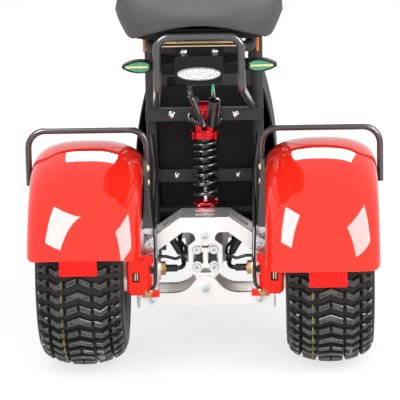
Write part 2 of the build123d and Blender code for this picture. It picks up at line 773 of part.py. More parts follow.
def shock():
    """Coil-over shock: eyes, damper, lower cup, notched collar with two reservoirs, and spring."""
    top, low = Vector(0, SHOCK_TOP_Y, SHOCK_TOP_Z), Vector(0, SHOCK_LOW_Y, SHOCK_LOW_Z)
    length = (top - low).length
    axis = Plane(origin=low, x_dir=(1, 0, 0), z_dir=top - low)
    collar = length - COLLAR_DROP

    def stage(w0, w1, radius):
        return slab_z(Circle(radius), w0, w1)

    body = stage(0, LOW_CUP[0], EYE_R + 2) + stage(*LOW_CUP, SPRING_R + WIRE_R)
    body += stage(LOW_CUP[0], length / 3, ROD_R) + stage(length / 4, collar + COLLAR_T, DAMPER_R)
    ring = Circle(COLLAR_R) - PolarLocations(COLLAR_R, COLLAR_NOTCHES) * Circle(4)
    body += slab_z(ring, collar, collar + COLLAR_T)
    lobes = make_hull((Sketch() + [Pos(s * 9, 0) * Circle(LOBE_R - 4) for s in (-1, 1)]).edges())
    crown = collar + COLLAR_T
    body += slab_z(lobes, crown, crown + LOBE_T) + stage(crown, length, EYE_R - 1.5)
    body = axis * body
    body += cross_rod(EYE_IN_X - 0.5, SHOCK_LOW_Y, SHOCK_LOW_Z, EYE_R)
    body += cross_rod(EYE_IN_X + EAR_T - 1, SHOCK_LOW_Y, SHOCK_LOW_Z, EYE_PIN_R)
    body += cross_rod(EYE_IN_X - 3.5, SHOCK_TOP_Y, SHOCK_TOP_Z, EYE_R)
    NODES["shock_body"] = body + cross_rod(EYE_IN_X + EAR_T - 3, SHOCK_TOP_Y, SHOCK_TOP_Z, EYE_PIN_R)
    coil = Helix(pitch=COIL_PITCH, height=collar - LOW_CUP[1] - 2 * WIRE_R, radius=SPRING_R)
    wire = sweep(Plane(origin=coil @ 0, z_dir=coil % 0) * Circle(WIRE_R), path=coil, is_frenet=True)
    NODES["shock_spring"] = axis * Pos(0, 0, LOW_CUP[1] + WIRE_R) * wire


def steering_axes():
    """Head tube's lower end, its axis, and the direction ahead of it."""
    axis = Vector(0, -sin(radians(RAKE)), cos(radians(RAKE)))
    ahead = Vector(0, cos(radians(RAKE)), sin(radians(RAKE)))
    return Vector(0, WHEELBASE, 0) - ahead * FORK_OFFSET + axis * FORK_LENGTH, axis, ahead


def deck():
    """Deck rails with cross members, backbone with the head tube, tray and mat."""
    rail_front = DECK_FRONT_Y - RAIL_SHORT
    rails = pair(block(RAIL_X - RAIL_W / 2, RAIL_X + RAIL_W / 2, RAIL_BACK_Y, rail_front, *RAIL_Z))
    ladder = rails
    last = rail_front - 25
    for y in (MEMBER_BACK_Y, (MEMBER_BACK_Y + last) / 2, last):
        ladder += block(-RAIL_X, RAIL_X, y - MEMBER_W / 2, y + MEMBER_W / 2, *RAIL_Z)
    ear = Pos(PIVOT_Y, PIVOT_Z) * Circle(24) + Pos(PIVOT_Y, PIVOT_Z - 22) * Rectangle(60, 40)
    ear -= Pos(PIVOT_Y, PIVOT_Z) * Circle(SHAFT_R + FIT)
    ladder += pair(slab_x(ear, PIVOT_TUBE_HALF + 3, RAIL_X - RAIL_W / 2 + 1))
    base, axis, _ = steering_axes()
    head = rod(tuple(base), tuple(base + axis * HEAD_LENGTH), HEAD_R)
    joint = base + axis * (HEAD_LENGTH * 0.6)
    run = [(0, DECK_FRONT_Y - 140, 10), (0, DECK_FRONT_Y + 15, 14), (0, DECK_FRONT_Y + 105, 200)]
    bore = rod(tuple(base - axis * 9), tuple(base + axis * (HEAD_LENGTH + 9)), STEERER_R + FIT)
    front = tube(run + [tuple(joint)], SPINE_R, SPINE_BEND) + head - bore
    NODES["deck_frame"] = ladder - front
    NODES["front_frame"] = front
    middle = Pos(0, (DECK_BACK_Y + DECK_FRONT_Y) / 2)
    length = DECK_FRONT_Y - DECK_BACK_Y
    tray = slab_z(middle * RectangleRounded(2 * DECK_HALF, length, DECK_CORNER), *DECK_Z)
    core = RectangleRounded(2 * (DECK_HALF - SHEET_T), length - 2 * SHEET_T, DECK_CORNER - SHEET_T)
    tray -= slab_z(middle * core, DECK_Z[0] - 1, RAIL_Z[1])
    NODES["deck_tray"] = tray - rails - front
    y0, y1 = COVER_Y[1] + MAT_BACK_GAP, DECK_FRONT_Y - MAT_FRONT_GAP
    mat = Pos(0, (y0 + y1) / 2) * RectangleRounded(2 * MAT_HALF, y1 - y0, DECK_CORNER - 16)
    NODES["deck_mat"] = slab_z(mat, DECK_Z[1], DECK_Z[1] + MAT_T) - front


def seat_frame():
    """Seat rails with the hinge ears, rear cage with shock ears and battery shelf, tail hoop."""
    loop = [(LOOP_X, LOOP_POST_Y, DECK_Z[1] + SEAT_IN), (LOOP_X, LOOP_POST_Y, LOOP_POST_Z)]
    loop += [(LOOP_X, LOOP_FRONT_Y, LOOP_Z), (LOOP_X, LOOP_BACK_Y, LOOP_Z)]
    rail = tube(loop + [(-x, y, z) for x, y, z in loop[::-1]], LOOP_R, LOOP_BEND)
    rail += cross_rod(LOOP_X, LOOP_FRONT_Y - TIE_BACK, LOOP_Z, TIE_R)
    tie = LOOP_FRONT_Y - TIE_BACK
    ear = Pos(HINGE_Y, HINGE_Z) * Circle(HINGE_R + 1)
    ear += face([
        (tie - 8, LOOP_Z - 4),
        (tie + 8, LOOP_Z - 6),
        (HINGE_Y + 8, HINGE_Z - 4),
        (HINGE_Y - 6, HINGE_Z + 6),
    ])
    rail += pair(slab_x(ear, HINGE_HALF + 3, HINGE_HALF + 9))
    rail += cross_rod(HINGE_HALF + 8, HINGE_Y, HINGE_Z, HINGE_PIN_R)
    NODES["seat_rails"] = rail
    cage = pair(rod((RAIL_X, POST_Y, RAIL_Z[1] + SEAT_IN), (RAIL_X, POST_Y, LOOP_Z), POST_R))
    cage += block(-BAR_HALF, BAR_HALF, *BAR_Y, *BAR_Z)
    cage += block(-RAIL_X, RAIL_X, *STRAP_Y, *STRAP_Z)
    shelf = BATTERY_Z[0] - SEAT_IN
    cage += block(-RAIL_X, RAIL_X, STRAP_Y[0] - 2, BATTERY_Y[1], shelf - SHELF_T, shelf)
    y, z, root = SHOCK_TOP_Y, SHOCK_TOP_Z, BAR_Y[0] + 4
    ear = face([
        (root, z - 20),
        (root, z + 16),
        (y + 6, z + 20),
        (y - 10, z + 14),
        (y - 16, z - 2),
        (y - 10, z - 16),
    ])
    cage += pair(slab_x(ear, EYE_IN_X - 3, EYE_IN_X + EAR_T - 2.5))
    cage -= cross_rod(SIDE_IN_X, y, z, EYE_BORE_R)
    NODES["rear_cage"] = cage - rail
    hoop = [(HOOP_FOOT_X, BAR_Y[0] + 8, BAR_Z[1] + 2)]
    hoop += [(HOOP_X, HOOP_Y, HOOP_LOW_Z), (HOOP_X, HOOP_Y, HOOP_TOP_Z)]
    NODES["tail_hoop"] = tube(hoop + [(-x, y, z) for x, y, z in hoop[::-1]], HOOP_R, HOOP_BEND) - cage


def barrel(inset, foot):
    """Cross-section of the body cover: bowed sides, flat top."""
    low = (COVER_FOOT_X - inset, foot)
    top = (COVER_TOP_X - inset, COVER_TOP_Z)
    arc = ThreePointArc(low, (COVER_MID_X - inset, COVER_MID_Z), top)
    return make_face(Curve() + [
        arc,
        mirror(arc, about=Plane.YZ),
        Line(top, (-top[0], COVER_TOP_Z)),
        Line((-low[0], foot), low),
    ])


def body():
    """Open-backed body cover and the battery box inside it."""
    y0, y1 = COVER_Y
    foot = DECK_Z[1] + SEAT_IN
    walls = []
    for inset, back, front in ((0, y0, y1), (COVER_T, y0 - 1, y1 - COVER_T)):
        solid = slab_y(barrel(inset, foot), back, front)
        rim = solid.edges().group_by(Axis.Y)[-1].filter_by(GeomType.CIRCLE)
        walls.append(fillet(rim, COVER_ROUND - inset))
    edge = DECK_BACK_Y + 15
    slope = face([(y0 - 2, foot - 50), (y0 - 2, foot + 55), (edge, foot), (edge, foot - 50)])
    NODES["body_cover"] = walls[0] - walls[1] - slab_x(slope, -DECK_HALF, DECK_HALF)
    case = block(-BATTERY_HALF, BATTERY_HALF, *BATTERY_Y, *BATTERY_Z)
    case = fillet(case.edges().filter_by(Axis.Z), 10)
    case = fillet(case.edges().group_by(Axis.Z)[-1], 6)
    back, front = (BATTERY_Y[0] + y for y in SOCKET_IN)
    socket = block(*SOCKET_X, back, front, BATTERY_Z[1] - 1, BATTERY_Z[1] + SOCKET_UP)
    NODES["battery_box"] = case + socket


def tail():
    """Lamp bracket, lamp with its lens, indicators, latch plates and side markers."""
    y, top = PLATE_Y - SHEET_T, PLATE_Z[1]
    plate = block(-PLATE_HALF, PLATE_HALF, y, PLATE_Y, *PLATE_Z)
    plate += block(-PLATE_HALF, PLATE_HALF, y, LOOP_BACK_Y + 10, LOOP_Z + LOOP_R + SEAT_IN, top)
    ear = block(PLATE_HALF, PLATE_HALF + SHEET_T, y, STALK_Y + 10, LEAF_Z - 12, LEAF_Z + 13)
    NODES["lamp_bracket"] = plate + pair(ear)
    case = fillet(block(-LAMP_HALF, LAMP_HALF, *LAMP_Y, *LAMP_Z).edges().filter_by(Axis.Y), LAMP_ROUND)
    floor = LAMP_Y[0] + LENS_DEEP
    NODES["tail_lamp"] = case - slab_y(Pos(0, LENS_Z) * Ellipse(*LENS), LAMP_Y[0] - 1, floor)
    lens = Pos(0, LENS_Z) * Ellipse(LENS[0] - FIT, LENS[1] - FIT)
    NODES["tail_lens"] = slab_y(lens, LAMP_Y[0] - 4, floor - SEAT_IN)
    root, wide, tip = zip(LEAF_X, LEAF_HALF)
    edge = ThreePointArc(root, wide, tip)
    leaf = make_face(Curve() + [
        Line((root[0], -root[1]), root),
        edge,
        Line(tip, (tip[0], -tip[1])),
        mirror(edge, about=Plane.XZ),
    ])
    start = PLATE_HALF + SHEET_T + SEAT_IN
    stalk = rod((start, STALK_Y, LEAF_Z), (LEAF_X[0] + 4, STALK_Y, LEAF_Z), STALK_R)
    for i in range(STALK_RIBS):
        x = start + 4 + 6 * i
        stalk += rod((x, STALK_Y, LEAF_Z), (x + 3, STALK_Y, LEAF_Z), STALK_RIB_R)
    NODES["indicators"] = pair(stalk + slab_y(Pos(0, LEAF_Z) * leaf, *LEAF_Y))
    z0 = top + SEAT_IN
    z1 = top + LATCH_T + LATCH_GAP
    latch = block(-LATCH_HALF, LATCH_HALF, *LATCH_Y, z0, top + LATCH_T)
    latch += block(-LATCH_HALF, LATCH_HALF, *LATCH_Y, z1, z1 + LATCH_T)
    NODES["seat_latch"] = latch + block(-LATCH_HALF, LATCH_HALF, LATCH_Y[1] - 3, LATCH_Y[1], z0, z1 + LATCH_T)
    side = LOOP_X + LOOP_R
    NODES["side_reflectors"] = pair(block(side + SEAT_IN, side + 5, *MARKER_Y, *MARKER_Z))


def seat_outline(inset):
    """Saddle seen from above: broad square tail, round nose."""
    wide, back, nose = SEAT_HALF - inset, SEAT_TAIL_Y + inset, SEAT_NOSE_Y - inset
    corner, tip = SEAT_CORNER - inset / 2, SEAT_TIP - inset / 2
    places = [(s * (wide - corner), back + corner + y) for s in (-1, 1) for y in (0, SEAT_SQUARE)]
    rounds = [Pos(*at) * Circle(corner) for at in places] + [Pos(0, nose - tip) * Circle(tip)]
    return make_hull((Sketch() + rounds).edges())


def seat():
    """Hinged pan with bumpers, and a cushion that wraps down round it, arched over the tail hoop."""
    rear = HOOP_Y + HOOP_R + PAN_REAR_GAP
    pan = slab_z(seat_outline(PAN_INSET), *PAN_Z) - block(-SEAT_HALF, SEAT_HALF, SEAT_TAIL_Y, rear, *PAN_Z)
    for y in BUMPER_Y:
        pan += pair(rod((LOOP_X, y, LOOP_Z + LOOP_R + FIT), (LOOP_X, y, PAN_Z[0] + 1), BUMPER_R))
    pan += cross_rod(HINGE_HALF, HINGE_Y, HINGE_Z, HINGE_R)
    pan += block(-HINGE_HALF, HINGE_HALF, HINGE_Y - 8, HINGE_Y + 4, HINGE_Z, PAN_Z[0] + 1)
    NODES["seat_pan"] = pan - cross_rod(HINGE_HALF + 20, HINGE_Y, HINGE_Z, HINGE_PIN_R + FIT)
    levels = ((SKIRT_Z, SKIRT_INSET), (SEAT_MID_Z, 0), (SEAT_TOP_Z, SEAT_TOP_INSET))
    cushion = loft([Pos(0, 0, z) * seat_outline(inset) for z, inset in levels])
    cushion -= slab_z(seat_outline(PAN_INSET - SKIRT_FIT), SKIRT_Z - 9, PAN_Z[1] + SEAT_IN)
    rise = ARCH_Z - SKIRT_Z
    radius = (ARCH_X**2 + rise**2) / (2 * rise)
    arch = Pos(0, ARCH_Z - radius) * Circle(radius)
    NODES["seat_cushion"] = cushion - slab_y(arch, SEAT_TAIL_Y - 9, ARCH_Y)


def fork(local):
    """Fork legs under a single crown, steerer with a riser, and the front axle."""
    rounds = [Pos(s * LEG_X, FORK_OFFSET) * Circle(CROWN_ROUND) for s in (-1, 1)]
    crown = make_hull((Sketch() + rounds + Circle(36)).edges())
    top = HEAD_LENGTH + 8
    stem = slab_z(crown, *CROWN_W) + slab_z(Circle(STEERER_R), CROWN_W[0] + 10, top + 10)
    stem += slab_z(Circle(RISER_R), top, HEAD_LENGTH + RISER)
    wide, deep, tall = CLAMP
    tip = HEAD_LENGTH + RISER
    stem += block(-wide, wide, CLAMP_AHEAD - deep, CLAMP_AHEAD + deep, tip - tall, tip)
    hold = LEG_R - 3
    socket = slab_z(Circle(hold + FIT / 2), CROWN_W[0] - 9, CROWN_W[1] + 9)
    for side in (-1, 1):
        stem -= Pos(side * LEG_X, FORK_OFFSET) * socket
    lower = slab_z(Circle(LEG_R), -FORK_LENGTH - LEG_FOOT, -LEG_BREAK)
    leg = Pos(LEG_X, FORK_OFFSET) * (lower + slab_z(Circle(hold), -LEG_BREAK, CROWN_W[1] + 3))
    boss = FRONT_FENDER_R - 10 - FORK_LENGTH
    leg += rod((FRONT_FENDER_HALF + SEAT_IN, FORK_OFFSET, boss), (LEG_X, FORK_OFFSET, boss), 8)
    reach = LEG_X + LEG_R + 14
    leg -= rod((LEG_X - 50, FORK_OFFSET, -FORK_LENGTH), (LEG_X + 50, FORK_OFFSET, -FORK_LENGTH), AXLE_R + FIT)
    NODES["front_axle"] = cross_rod(reach, WHEELBASE, 0, AXLE_R)
    ear = face([(-12, 22), (-40, 92), (-104, 74), (-104, 4), (-70, -8), (-30, -16)])
    outer = FRONT_DISC_X + CALIPER_IN + 3 + SEAT_IN
    left = flip(local * leg) + slab_x(Pos(WHEELBASE, 0) * ear, -outer - 8, -outer)
    left -= cross_rod(reach, WHEELBASE, 0, AXLE_R + FIT)
    NODES["fork_legs"] = Part() + [left, local * leg]
    return local * stem


def steering():
    """Fork, front fender and caliper, handlebar with its controls, headlamp and display."""
    base, axis, ahead = steering_axes()
    local = Plane(origin=base, x_dir=(1, 0, 0), z_dir=axis)
    stem = fork(local)
    clamp = base + axis * (HEAD_LENGTH + RISER) + ahead * CLAMP_AHEAD
    points = [(*GRIP_OUT, GRIP_Z), (GRIP_IN[0] - 20, GRIP_IN[1] + 9, GRIP_Z), (BAR_FLAT_X, clamp.Y, clamp.Z)]
    handle = tube(points + [(-x, y, z) for x, y, z in points[::-1]], BAR_TUBE_R, BAR_BEND)
    NODES["steering_stem"] = stem - handle
    NODES["handlebar"] = handle
    inner, outer = Vector(*GRIP_IN, GRIP_Z), Vector(*GRIP_OUT, GRIP_Z)
    way = (outer - inner).normalized()
    grip = rod(tuple(outer - way * GRIP_LENGTH), tuple(outer + way * 4), GRIP_R)
    hollow = rod(tuple(outer - way * (GRIP_LENGTH + 5)), tuple(outer), BAR_TUBE_R + FIT / 2)
    NODES["grips"] = pair(grip - hollow)
    perch = cross_rod(10, 0, 0, 17) + block(-20, 10, 12, 44, -14, 18)
    perch += block(0, 150, 44, 52, -6, 6) + block(-6, 14, 30, 52, -8, 8)
    perch -= cross_rod(30, 0, 0, BAR_TUBE_R + FIT / 2)
    perch -= rod((-5, 27, 4), (-5, 27, 19), 4)
    NODES["brake_levers"] = pair(Plane(origin=outer - way * PERCH_BACK, x_dir=way, z_dir=(0, 0, 1)) * perch)
    front_guard()
    place = Pos(-FRONT_DISC_X, WHEELBASE, 0)
    NODES["front_caliper"] = place * Rot(-15, 0, 0) * caliper(CALIPER_OUT - 6)
    headlamp(base + axis * (HEAD_LENGTH + LAMP_UP), axis)
    dash = block(-46, 46, -26, 34, 26, 46) + block(-8, 8, -8, 8, BAR_TUBE_R, 28)
    NODES["display"] = Plane(origin=clamp, x_dir=(1, 0, 0), z_dir=(0, -0.5, 0.866)) * dash - handle


def front_guard():
    """Front fender between the fork legs."""
    half, foot, side = FRONT_FENDER_HALF, FRONT_FENDER_R - FRONT_FENDER_DEEP, FRONT_FENDER_R
    rings = []
    for t in (0, FRONT_FENDER_T):
        crown = ThreePointArc((t - half, side - t), (0, side + FRONT_FENDER_RISE - t), (half - t, side - t))
        walls = [Line((half - t, side - t), (half - t, foot)), Line((t - half, side - t), (t - half, foot))]
        rings.append(make_face(Curve() + [crown, *walls, Line((half - t, foot), (t - half, foot))]))
    shell = revolve(rings[0] - rings[1], Axis.X, FRONT_FENDER_SPAN)
    NODES["front_fender"] = Pos(0, WHEELBASE, 0) * Rot(FRONT_FENDER_START, 0, 0) * shell


def headlamp(mount, axis):
    """Round headlamp on a short arm from the riser."""
    y, z = mount.Y + LAMP_OUT, mount.Z
    outline = [(0, 0), (34, 0), (62, 30), (LAMP_R, 62), (LAMP_R, LAMP_DEEP), (0, LAMP_DEEP)]
    bowl = revolve(face(outline), Axis.Y)
    bowl -= rod((0, LAMP_DEEP - LAMP_RIM, 0), (0, LAMP_DEEP + 9, 0), LAMP_R - LAMP_RIM)
    arm = rod((0, mount.Y, z), (0, y + 2, z), 14)
    arm -= rod(tuple(mount - axis * 60), tuple(mount + axis * 60), RISER_R + SEAT_IN)
    NODES["headlamp"] = Pos(0, y, z) * bowl + arm
    face_y = LAMP_DEEP - LAMP_RIM
    lens = rod((0, face_y + SEAT_IN, 0), (0, LAMP_DEEP + 4, 0), LAMP_R - LAMP_RIM - FIT)
    NODES["headlamp_lens"] = Pos(0, y, z) * lens


def cables():
    """Brake hoses, motor leads with their plugs, and the tail lamp's two leads, all clipped at both ends."""
    hose = [(122, -117.2, -26), (108, -122, -5), (106, -112, 52)]
    hose += [(108, -72, 108), (108, 40, 210), (118, 107, 278)]
    NODES["brake_hoses"] = pair(tube(hose, HOSE_R, HOSE_BEND)) - NODES["rear_cage"]
    plug = rod((64, 0, 0), (AXLE_BOSS_X - NUT_T - 2 - FIT * 2 / 3, 0, 0), MOTOR_PLUG_R)
    shelf = BATTERY_Z[0] - SEAT_IN - SHELF_T
    under = shelf - SEAT_IN
    lead = [(66, 0, 0), (48, 4, 0), (60, 62, 48), (60, 160, 60), (60, 160, under)]
    sensor = [(51.6, 21.4, 14.4), (44, 6, 16), (57, 4, 35), (76, 4, 66)]
    sensor += [(74, 60, 72), (70, 176, 84), (70, 176, under)]
    signal = [(KNUCKLE_IN_X - SEAT_IN, -20, 32), (88, -20, 32), (66, -20, 26)]
    signal += [(44, -16, 36), (46, 22, 42), (60, 62, 48)]
    lead = tube(lead, MOTOR_LEAD_R, LEAD_BEND)
    lead += tube(sensor, SENSOR_R, SENSOR_BEND) + rod((56, 4, 33), (75, 4, 65), MOTOR_PLUG_R)
    lead += tube(signal, SENSOR_R, SMALL_BEND)
    NODES["motor_cables"] = pair(plug + lead)
    lamp, bar = LAMP_Z[0] - SEAT_IN, BAR_Y[0] - SEAT_IN
    wrap = [(-20, -222, lamp), (-20, -222, 430), (0, 10, 318), (-34, 50, 324), (-34, bar, 324)]
    wrap = tube(wrap, TAIL_WRAP_R, HOSE_BEND)
    lead = tube([(28, -222, lamp), (28, -222, 432), (25, 6, 382), (24, 12, 365)], TAIL_LEAD_R, LEAD_BEND)
    lead += rod((25, 10, 370), (18, 30, 313), TAIL_BOOT_R)
    last = [(18.5, 28.5, 318), (17, 33, 304), (38, 62, 320), (38, bar, 320)]
    lead += tube(last, TAIL_LEAD_R, SMALL_BEND)
    NODES["tail_wiring"] = Part() + [wrap, lead]


def main():
    """Build every node and export it in the row's frame."""
    groups = (wheels, linkage, uprights, brakes, fenders, swingarm, shock)
    groups += (deck, seat_frame, body, tail, seat, steering, cables)
    for group in groups:
        group()
    os.makedirs("parts", exist_ok=True)
    for name, shape in NODES.items():
        export_step(Pos(0, -MID_Y, TYRE_R) * shape, f"parts/{name}.step")


main()
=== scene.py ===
"""Electric tricycle scooter: finishes, tread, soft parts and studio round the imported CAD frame.

Everything is in metres in the CAD's own frame: +Y is the driving direction, +X the rider's right, +Z up.
"""

import json
import logging
import math
from dataclasses import dataclass, field, replace
from enum import Enum

import bmesh
import bpy
import numpy as np
from mathutils import Matrix, Vector
from mathutils.bvhtree import BVHTree


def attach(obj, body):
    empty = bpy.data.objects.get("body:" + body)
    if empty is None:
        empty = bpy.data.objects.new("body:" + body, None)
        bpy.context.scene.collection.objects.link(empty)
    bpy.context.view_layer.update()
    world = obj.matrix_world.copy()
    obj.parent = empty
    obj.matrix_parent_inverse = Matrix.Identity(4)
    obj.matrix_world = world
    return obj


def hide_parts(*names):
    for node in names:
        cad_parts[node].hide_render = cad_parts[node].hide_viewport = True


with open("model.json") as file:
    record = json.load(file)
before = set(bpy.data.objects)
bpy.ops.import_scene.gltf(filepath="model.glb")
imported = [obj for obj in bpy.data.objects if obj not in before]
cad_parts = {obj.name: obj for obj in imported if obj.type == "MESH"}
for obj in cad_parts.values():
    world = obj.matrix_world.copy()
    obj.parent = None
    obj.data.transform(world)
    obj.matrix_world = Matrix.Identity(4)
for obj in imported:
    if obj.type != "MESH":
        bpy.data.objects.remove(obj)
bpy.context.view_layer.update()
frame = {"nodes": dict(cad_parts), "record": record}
NODES: dict[str, bpy.types.Object] = frame["nodes"]
LOG = logging.getLogger("tricycle")

PIVOTS = {joint["name"]: joint["pos_m"] for joint in frame["record"]["behaviour"]["joints"]}
HALF_TRACK, REAR_Y, AXLE_Z = PIVOTS["rear_right_spin"]
FRONT_Y = PIVOTS["front_spin"][1]
REAR_TURN = -0.03
FRONT_WIDTH = 0.140
FRONT_ROWS = 34
FRONT_BLOCK_IN = 29.0
FENDER_X = 0.254
FRAME = "frame"
BACK = (0.0, -1.0, 0.0)
RIGHT = (1.0, 0.0, 0.0)
Mesh = tuple[np.ndarray, list[list[int]]]
Outline = tuple[tuple[float, float], ...]
Point = tuple[float, float, float]
Box = tuple[float, float, float, float]
Colour = tuple[float, float, float]


class Grain(Enum):
    """Small surface texture of a finish."""

    PLAIN = "plain"
    LEATHER = "leather"
    CAST = "cast"
    BRUSHED = "brushed"
    RIBS = "ribs"
    CUBES = "cubes"


@dataclass(frozen=True)
class Finish:
    """A surface finish; every uniform value goes straight onto the shader's socket.

    A stripe is a painted line round the object at x = stripe, broken up by noise.
    Dots are round spots of a second colour, as of small lamps behind a lens; on the indicator board the
    lighter dots are painted reflections of its lens.
    """

    name: str
    colour: Colour
    roughness: float = 0.5
    metallic: float = 0.0
    coat: float = 0.0
    specular: float = 0.5
    grain: Grain = Grain.PLAIN
    scale: float = 300.0
    depth: float = 0.0002
    stripe: float | None = None
    stripe_colour: Colour = (0.55, 0.42, 0.03)
    stripe_half: float = 0.0011
    stripe_noise: float = 130.0
    stripe_wear: float = 0.41
    dots: Colour | None = None
    dot_size: float = 0.26
    dot_scatter: float = 0.6

    def material(self) -> bpy.types.Material:
        """Make the material once and hand back the same one after that.

        Returns:
            The node material of this finish.
        """
        name = f"look_{self.name}"
        found = bpy.data.materials.get(name)
        if found:
            return found
        mat = bpy.data.materials.new(name)
        mat.use_nodes = True
        tree = mat.node_tree
        shader = tree.nodes["Principled BSDF"]
        values = {
            "Base Color": (*self.colour, 1.0),
            "Roughness": self.roughness,
            "Metallic": self.metallic,
            "Coat Weight": self.coat,
            "Coat Roughness": 0.03,
            "Specular IOR Level": self.specular,
        }
        for key, value in values.items():
            shader.inputs[key].default_value = value
        if self.grain is not Grain.PLAIN:
            self._bump(tree, shader)
        if self.stripe is not None:
            self._stripe(tree, shader)
        if self.dots is not None:
            self._dots(tree, shader)
        return mat

    def _bump(self, tree: bpy.types.NodeTree, shader: bpy.types.Node) -> None:
        """Add the grain as a bump on Object coordinates.

        Args:
            tree: The material's node tree.
            shader: The shader that takes the normal.
        """
        bump = tree.nodes.new("ShaderNodeBump")
        bump.inputs["Distance"].default_value = self.depth
        bump.inputs["Strength"].default_value = 1.0
        stretch = tree.nodes.new("ShaderNodeMapping")
        stretch.inputs["Scale"].default_value = (0.05 if self.grain is Grain.BRUSHED else 1.0, 1.0, 1.0)
        tree.links.new(tree.nodes.new("ShaderNodeTexCoord").outputs["Object"], stretch.inputs["Vector"])
        if self.grain is Grain.LEATHER:
            pattern = tree.nodes.new("ShaderNodeTexVoronoi")
            pattern.feature = "DISTANCE_TO_EDGE"
        elif self.grain is Grain.CUBES:
            pattern = tree.nodes.new("ShaderNodeTexVoronoi")
            pattern.inputs["Randomness"].default_value = 0.0
        elif self.grain is Grain.RIBS:
            pattern = tree.nodes.new("ShaderNodeTexWave")
            pattern.bands_direction = "X"
        else:
            pattern = tree.nodes.new("ShaderNodeTexNoise")
            pattern.inputs["Detail"].default_value = 4.0
        pattern.inputs["Scale"].default_value = self.scale
        tree.links.new(stretch.outputs["Vector"], pattern.inputs["Vector"])
        tree.links.new(pattern.outputs[0], bump.inputs["Height"])
        tree.links.new(bump.outputs["Normal"], shader.inputs["Normal"])

    def _math(
        self, tree: bpy.types.NodeTree, kind: str, a: bpy.types.NodeSocket, b: bpy.types.NodeSocket | float
    ) -> bpy.types.NodeSocket:
        """One math node on two inputs.

        Args:
            tree: The material's node tree.
            kind: Blender's name of the operation.
            a: First input.
            b: Second input, a socket or a number.

        Returns:
            The node's output socket.
        """
        node = tree.nodes.new("ShaderNodeMath")
        node.operation = kind
        tree.links.new(a, node.inputs[0])
        if isinstance(b, float):
            node.inputs[1].default_value = b
        else:
            tree.links.new(b, node.inputs[1])
        return node.outputs[0]

    def _blend(
        self, tree: bpy.types.NodeTree, shader: bpy.types.Node, share: bpy.types.NodeSocket, colour: Colour
    ) -> None:
        """Mix a second colour into the base colour.

        Args:
            tree: The material's node tree.
            shader: The shader that takes the colour.
            share: Socket with the share of the second colour.
            colour: The second colour.
        """
        mix = tree.nodes.new("ShaderNodeMix")
        mix.data_type = "RGBA"
        mix.inputs["A"].default_value = (*self.colour, 1.0)
        mix.inputs["B"].default_value = (*colour, 1.0)
        tree.links.new(share, mix.inputs["Factor"])
        tree.links.new(mix.outputs["Result"], shader.inputs["Base Color"])

    def _stripe(self, tree: bpy.types.NodeTree, shader: bpy.types.Node) -> None:
        """Thin worn paint line: |x - stripe| < stripe_half wherever a noise is over stripe_wear.

        Args:
            tree: The material's node tree.
            shader: The shader that takes the colour.
        """
        where = tree.nodes.new("ShaderNodeTexCoord").outputs["Object"]
        apart = tree.nodes.new("ShaderNodeSeparateXYZ")
        tree.links.new(where, apart.inputs[0])
        noise = tree.nodes.new("ShaderNodeTexNoise")
        noise.inputs["Scale"].default_value = self.stripe_noise
        tree.links.new(where, noise.inputs["Vector"])
        beside = self._math(tree, "SUBTRACT", apart.outputs[0], float(self.stripe))
        line = self._math(tree, "LESS_THAN", self._math(tree, "ABSOLUTE", beside, 0.0), self.stripe_half)
        worn = self._math(tree, "GREATER_THAN", noise.outputs[0], self.stripe_wear)
        self._blend(tree, shader, self._math(tree, "MULTIPLY", line, worn), self.stripe_colour)

    def _dots(self, tree: bpy.types.NodeTree, shader: bpy.types.Node) -> None:
        """Round spots of the second colour, one in each cell of a pattern across x and z.

        Args:
            tree: The material's node tree.
            shader: The shader that takes the colour.
        """
        apart = tree.nodes.new("ShaderNodeSeparateXYZ")
        tree.links.new(tree.nodes.new("ShaderNodeTexCoord").outputs["Object"], apart.inputs[0])
        flat = tree.nodes.new("ShaderNodeCombineXYZ")
        tree.links.new(apart.outputs["X"], flat.inputs["X"])
        tree.links.new(apart.outputs["Z"], flat.inputs["Y"])
        cells = tree.nodes.new("ShaderNodeTexVoronoi")
        cells.voronoi_dimensions = "2D"
        cells.inputs["Scale"].default_value = self.scale
        cells.inputs["Randomness"].default_value = self.dot_scatter
        tree.links.new(flat.outputs[0], cells.inputs["Vector"])
        spot = self._math(tree, "LESS_THAN", cells.outputs["Distance"], self.dot_size)
        self._blend(tree, shader, spot, self.dots)


RED = Finish("gloss_red", (0.92, 0.022, 0.010), roughness=0.4, coat=1.0, specular=0.0)
BLACK = Finish("black_paint", (0.038, 0.036, 0.036), roughness=0.28, coat=0.6)
CAGE = Finish("frame_black", (0.036, 0.034, 0.034), roughness=0.5, specular=0.2)
ALLOY = Finish(
    "machined_alloy", (0.80, 0.78, 0.76), roughness=0.4, metallic=1.0,
    grain=Grain.BRUSHED, scale=900, depth=0.00003,
)
PLASTIC = Finish("black_plastic", (0.006, 0.006, 0.0065), roughness=0.4, specular=0.16)
CASE = Finish("battery_case", (0.018, 0.0172, 0.017), roughness=0.6, specular=0.02)
COVER = Finish("dark_grey_cover", (0.018, 0.017, 0.018), roughness=0.5, specular=0.08)
RUBBER = Finish("black_rubber", (0.012, 0.012, 0.013), roughness=0.38)
HOSE = Finish("shiny_hose", (0.008, 0.008, 0.009), roughness=0.16, coat=0.5)
TYRE = Finish(
    "tyre_rubber", (0.020, 0.0192, 0.018), roughness=0.24, specular=0.55,
    grain=Grain.CAST, scale=260, depth=0.0001,
)
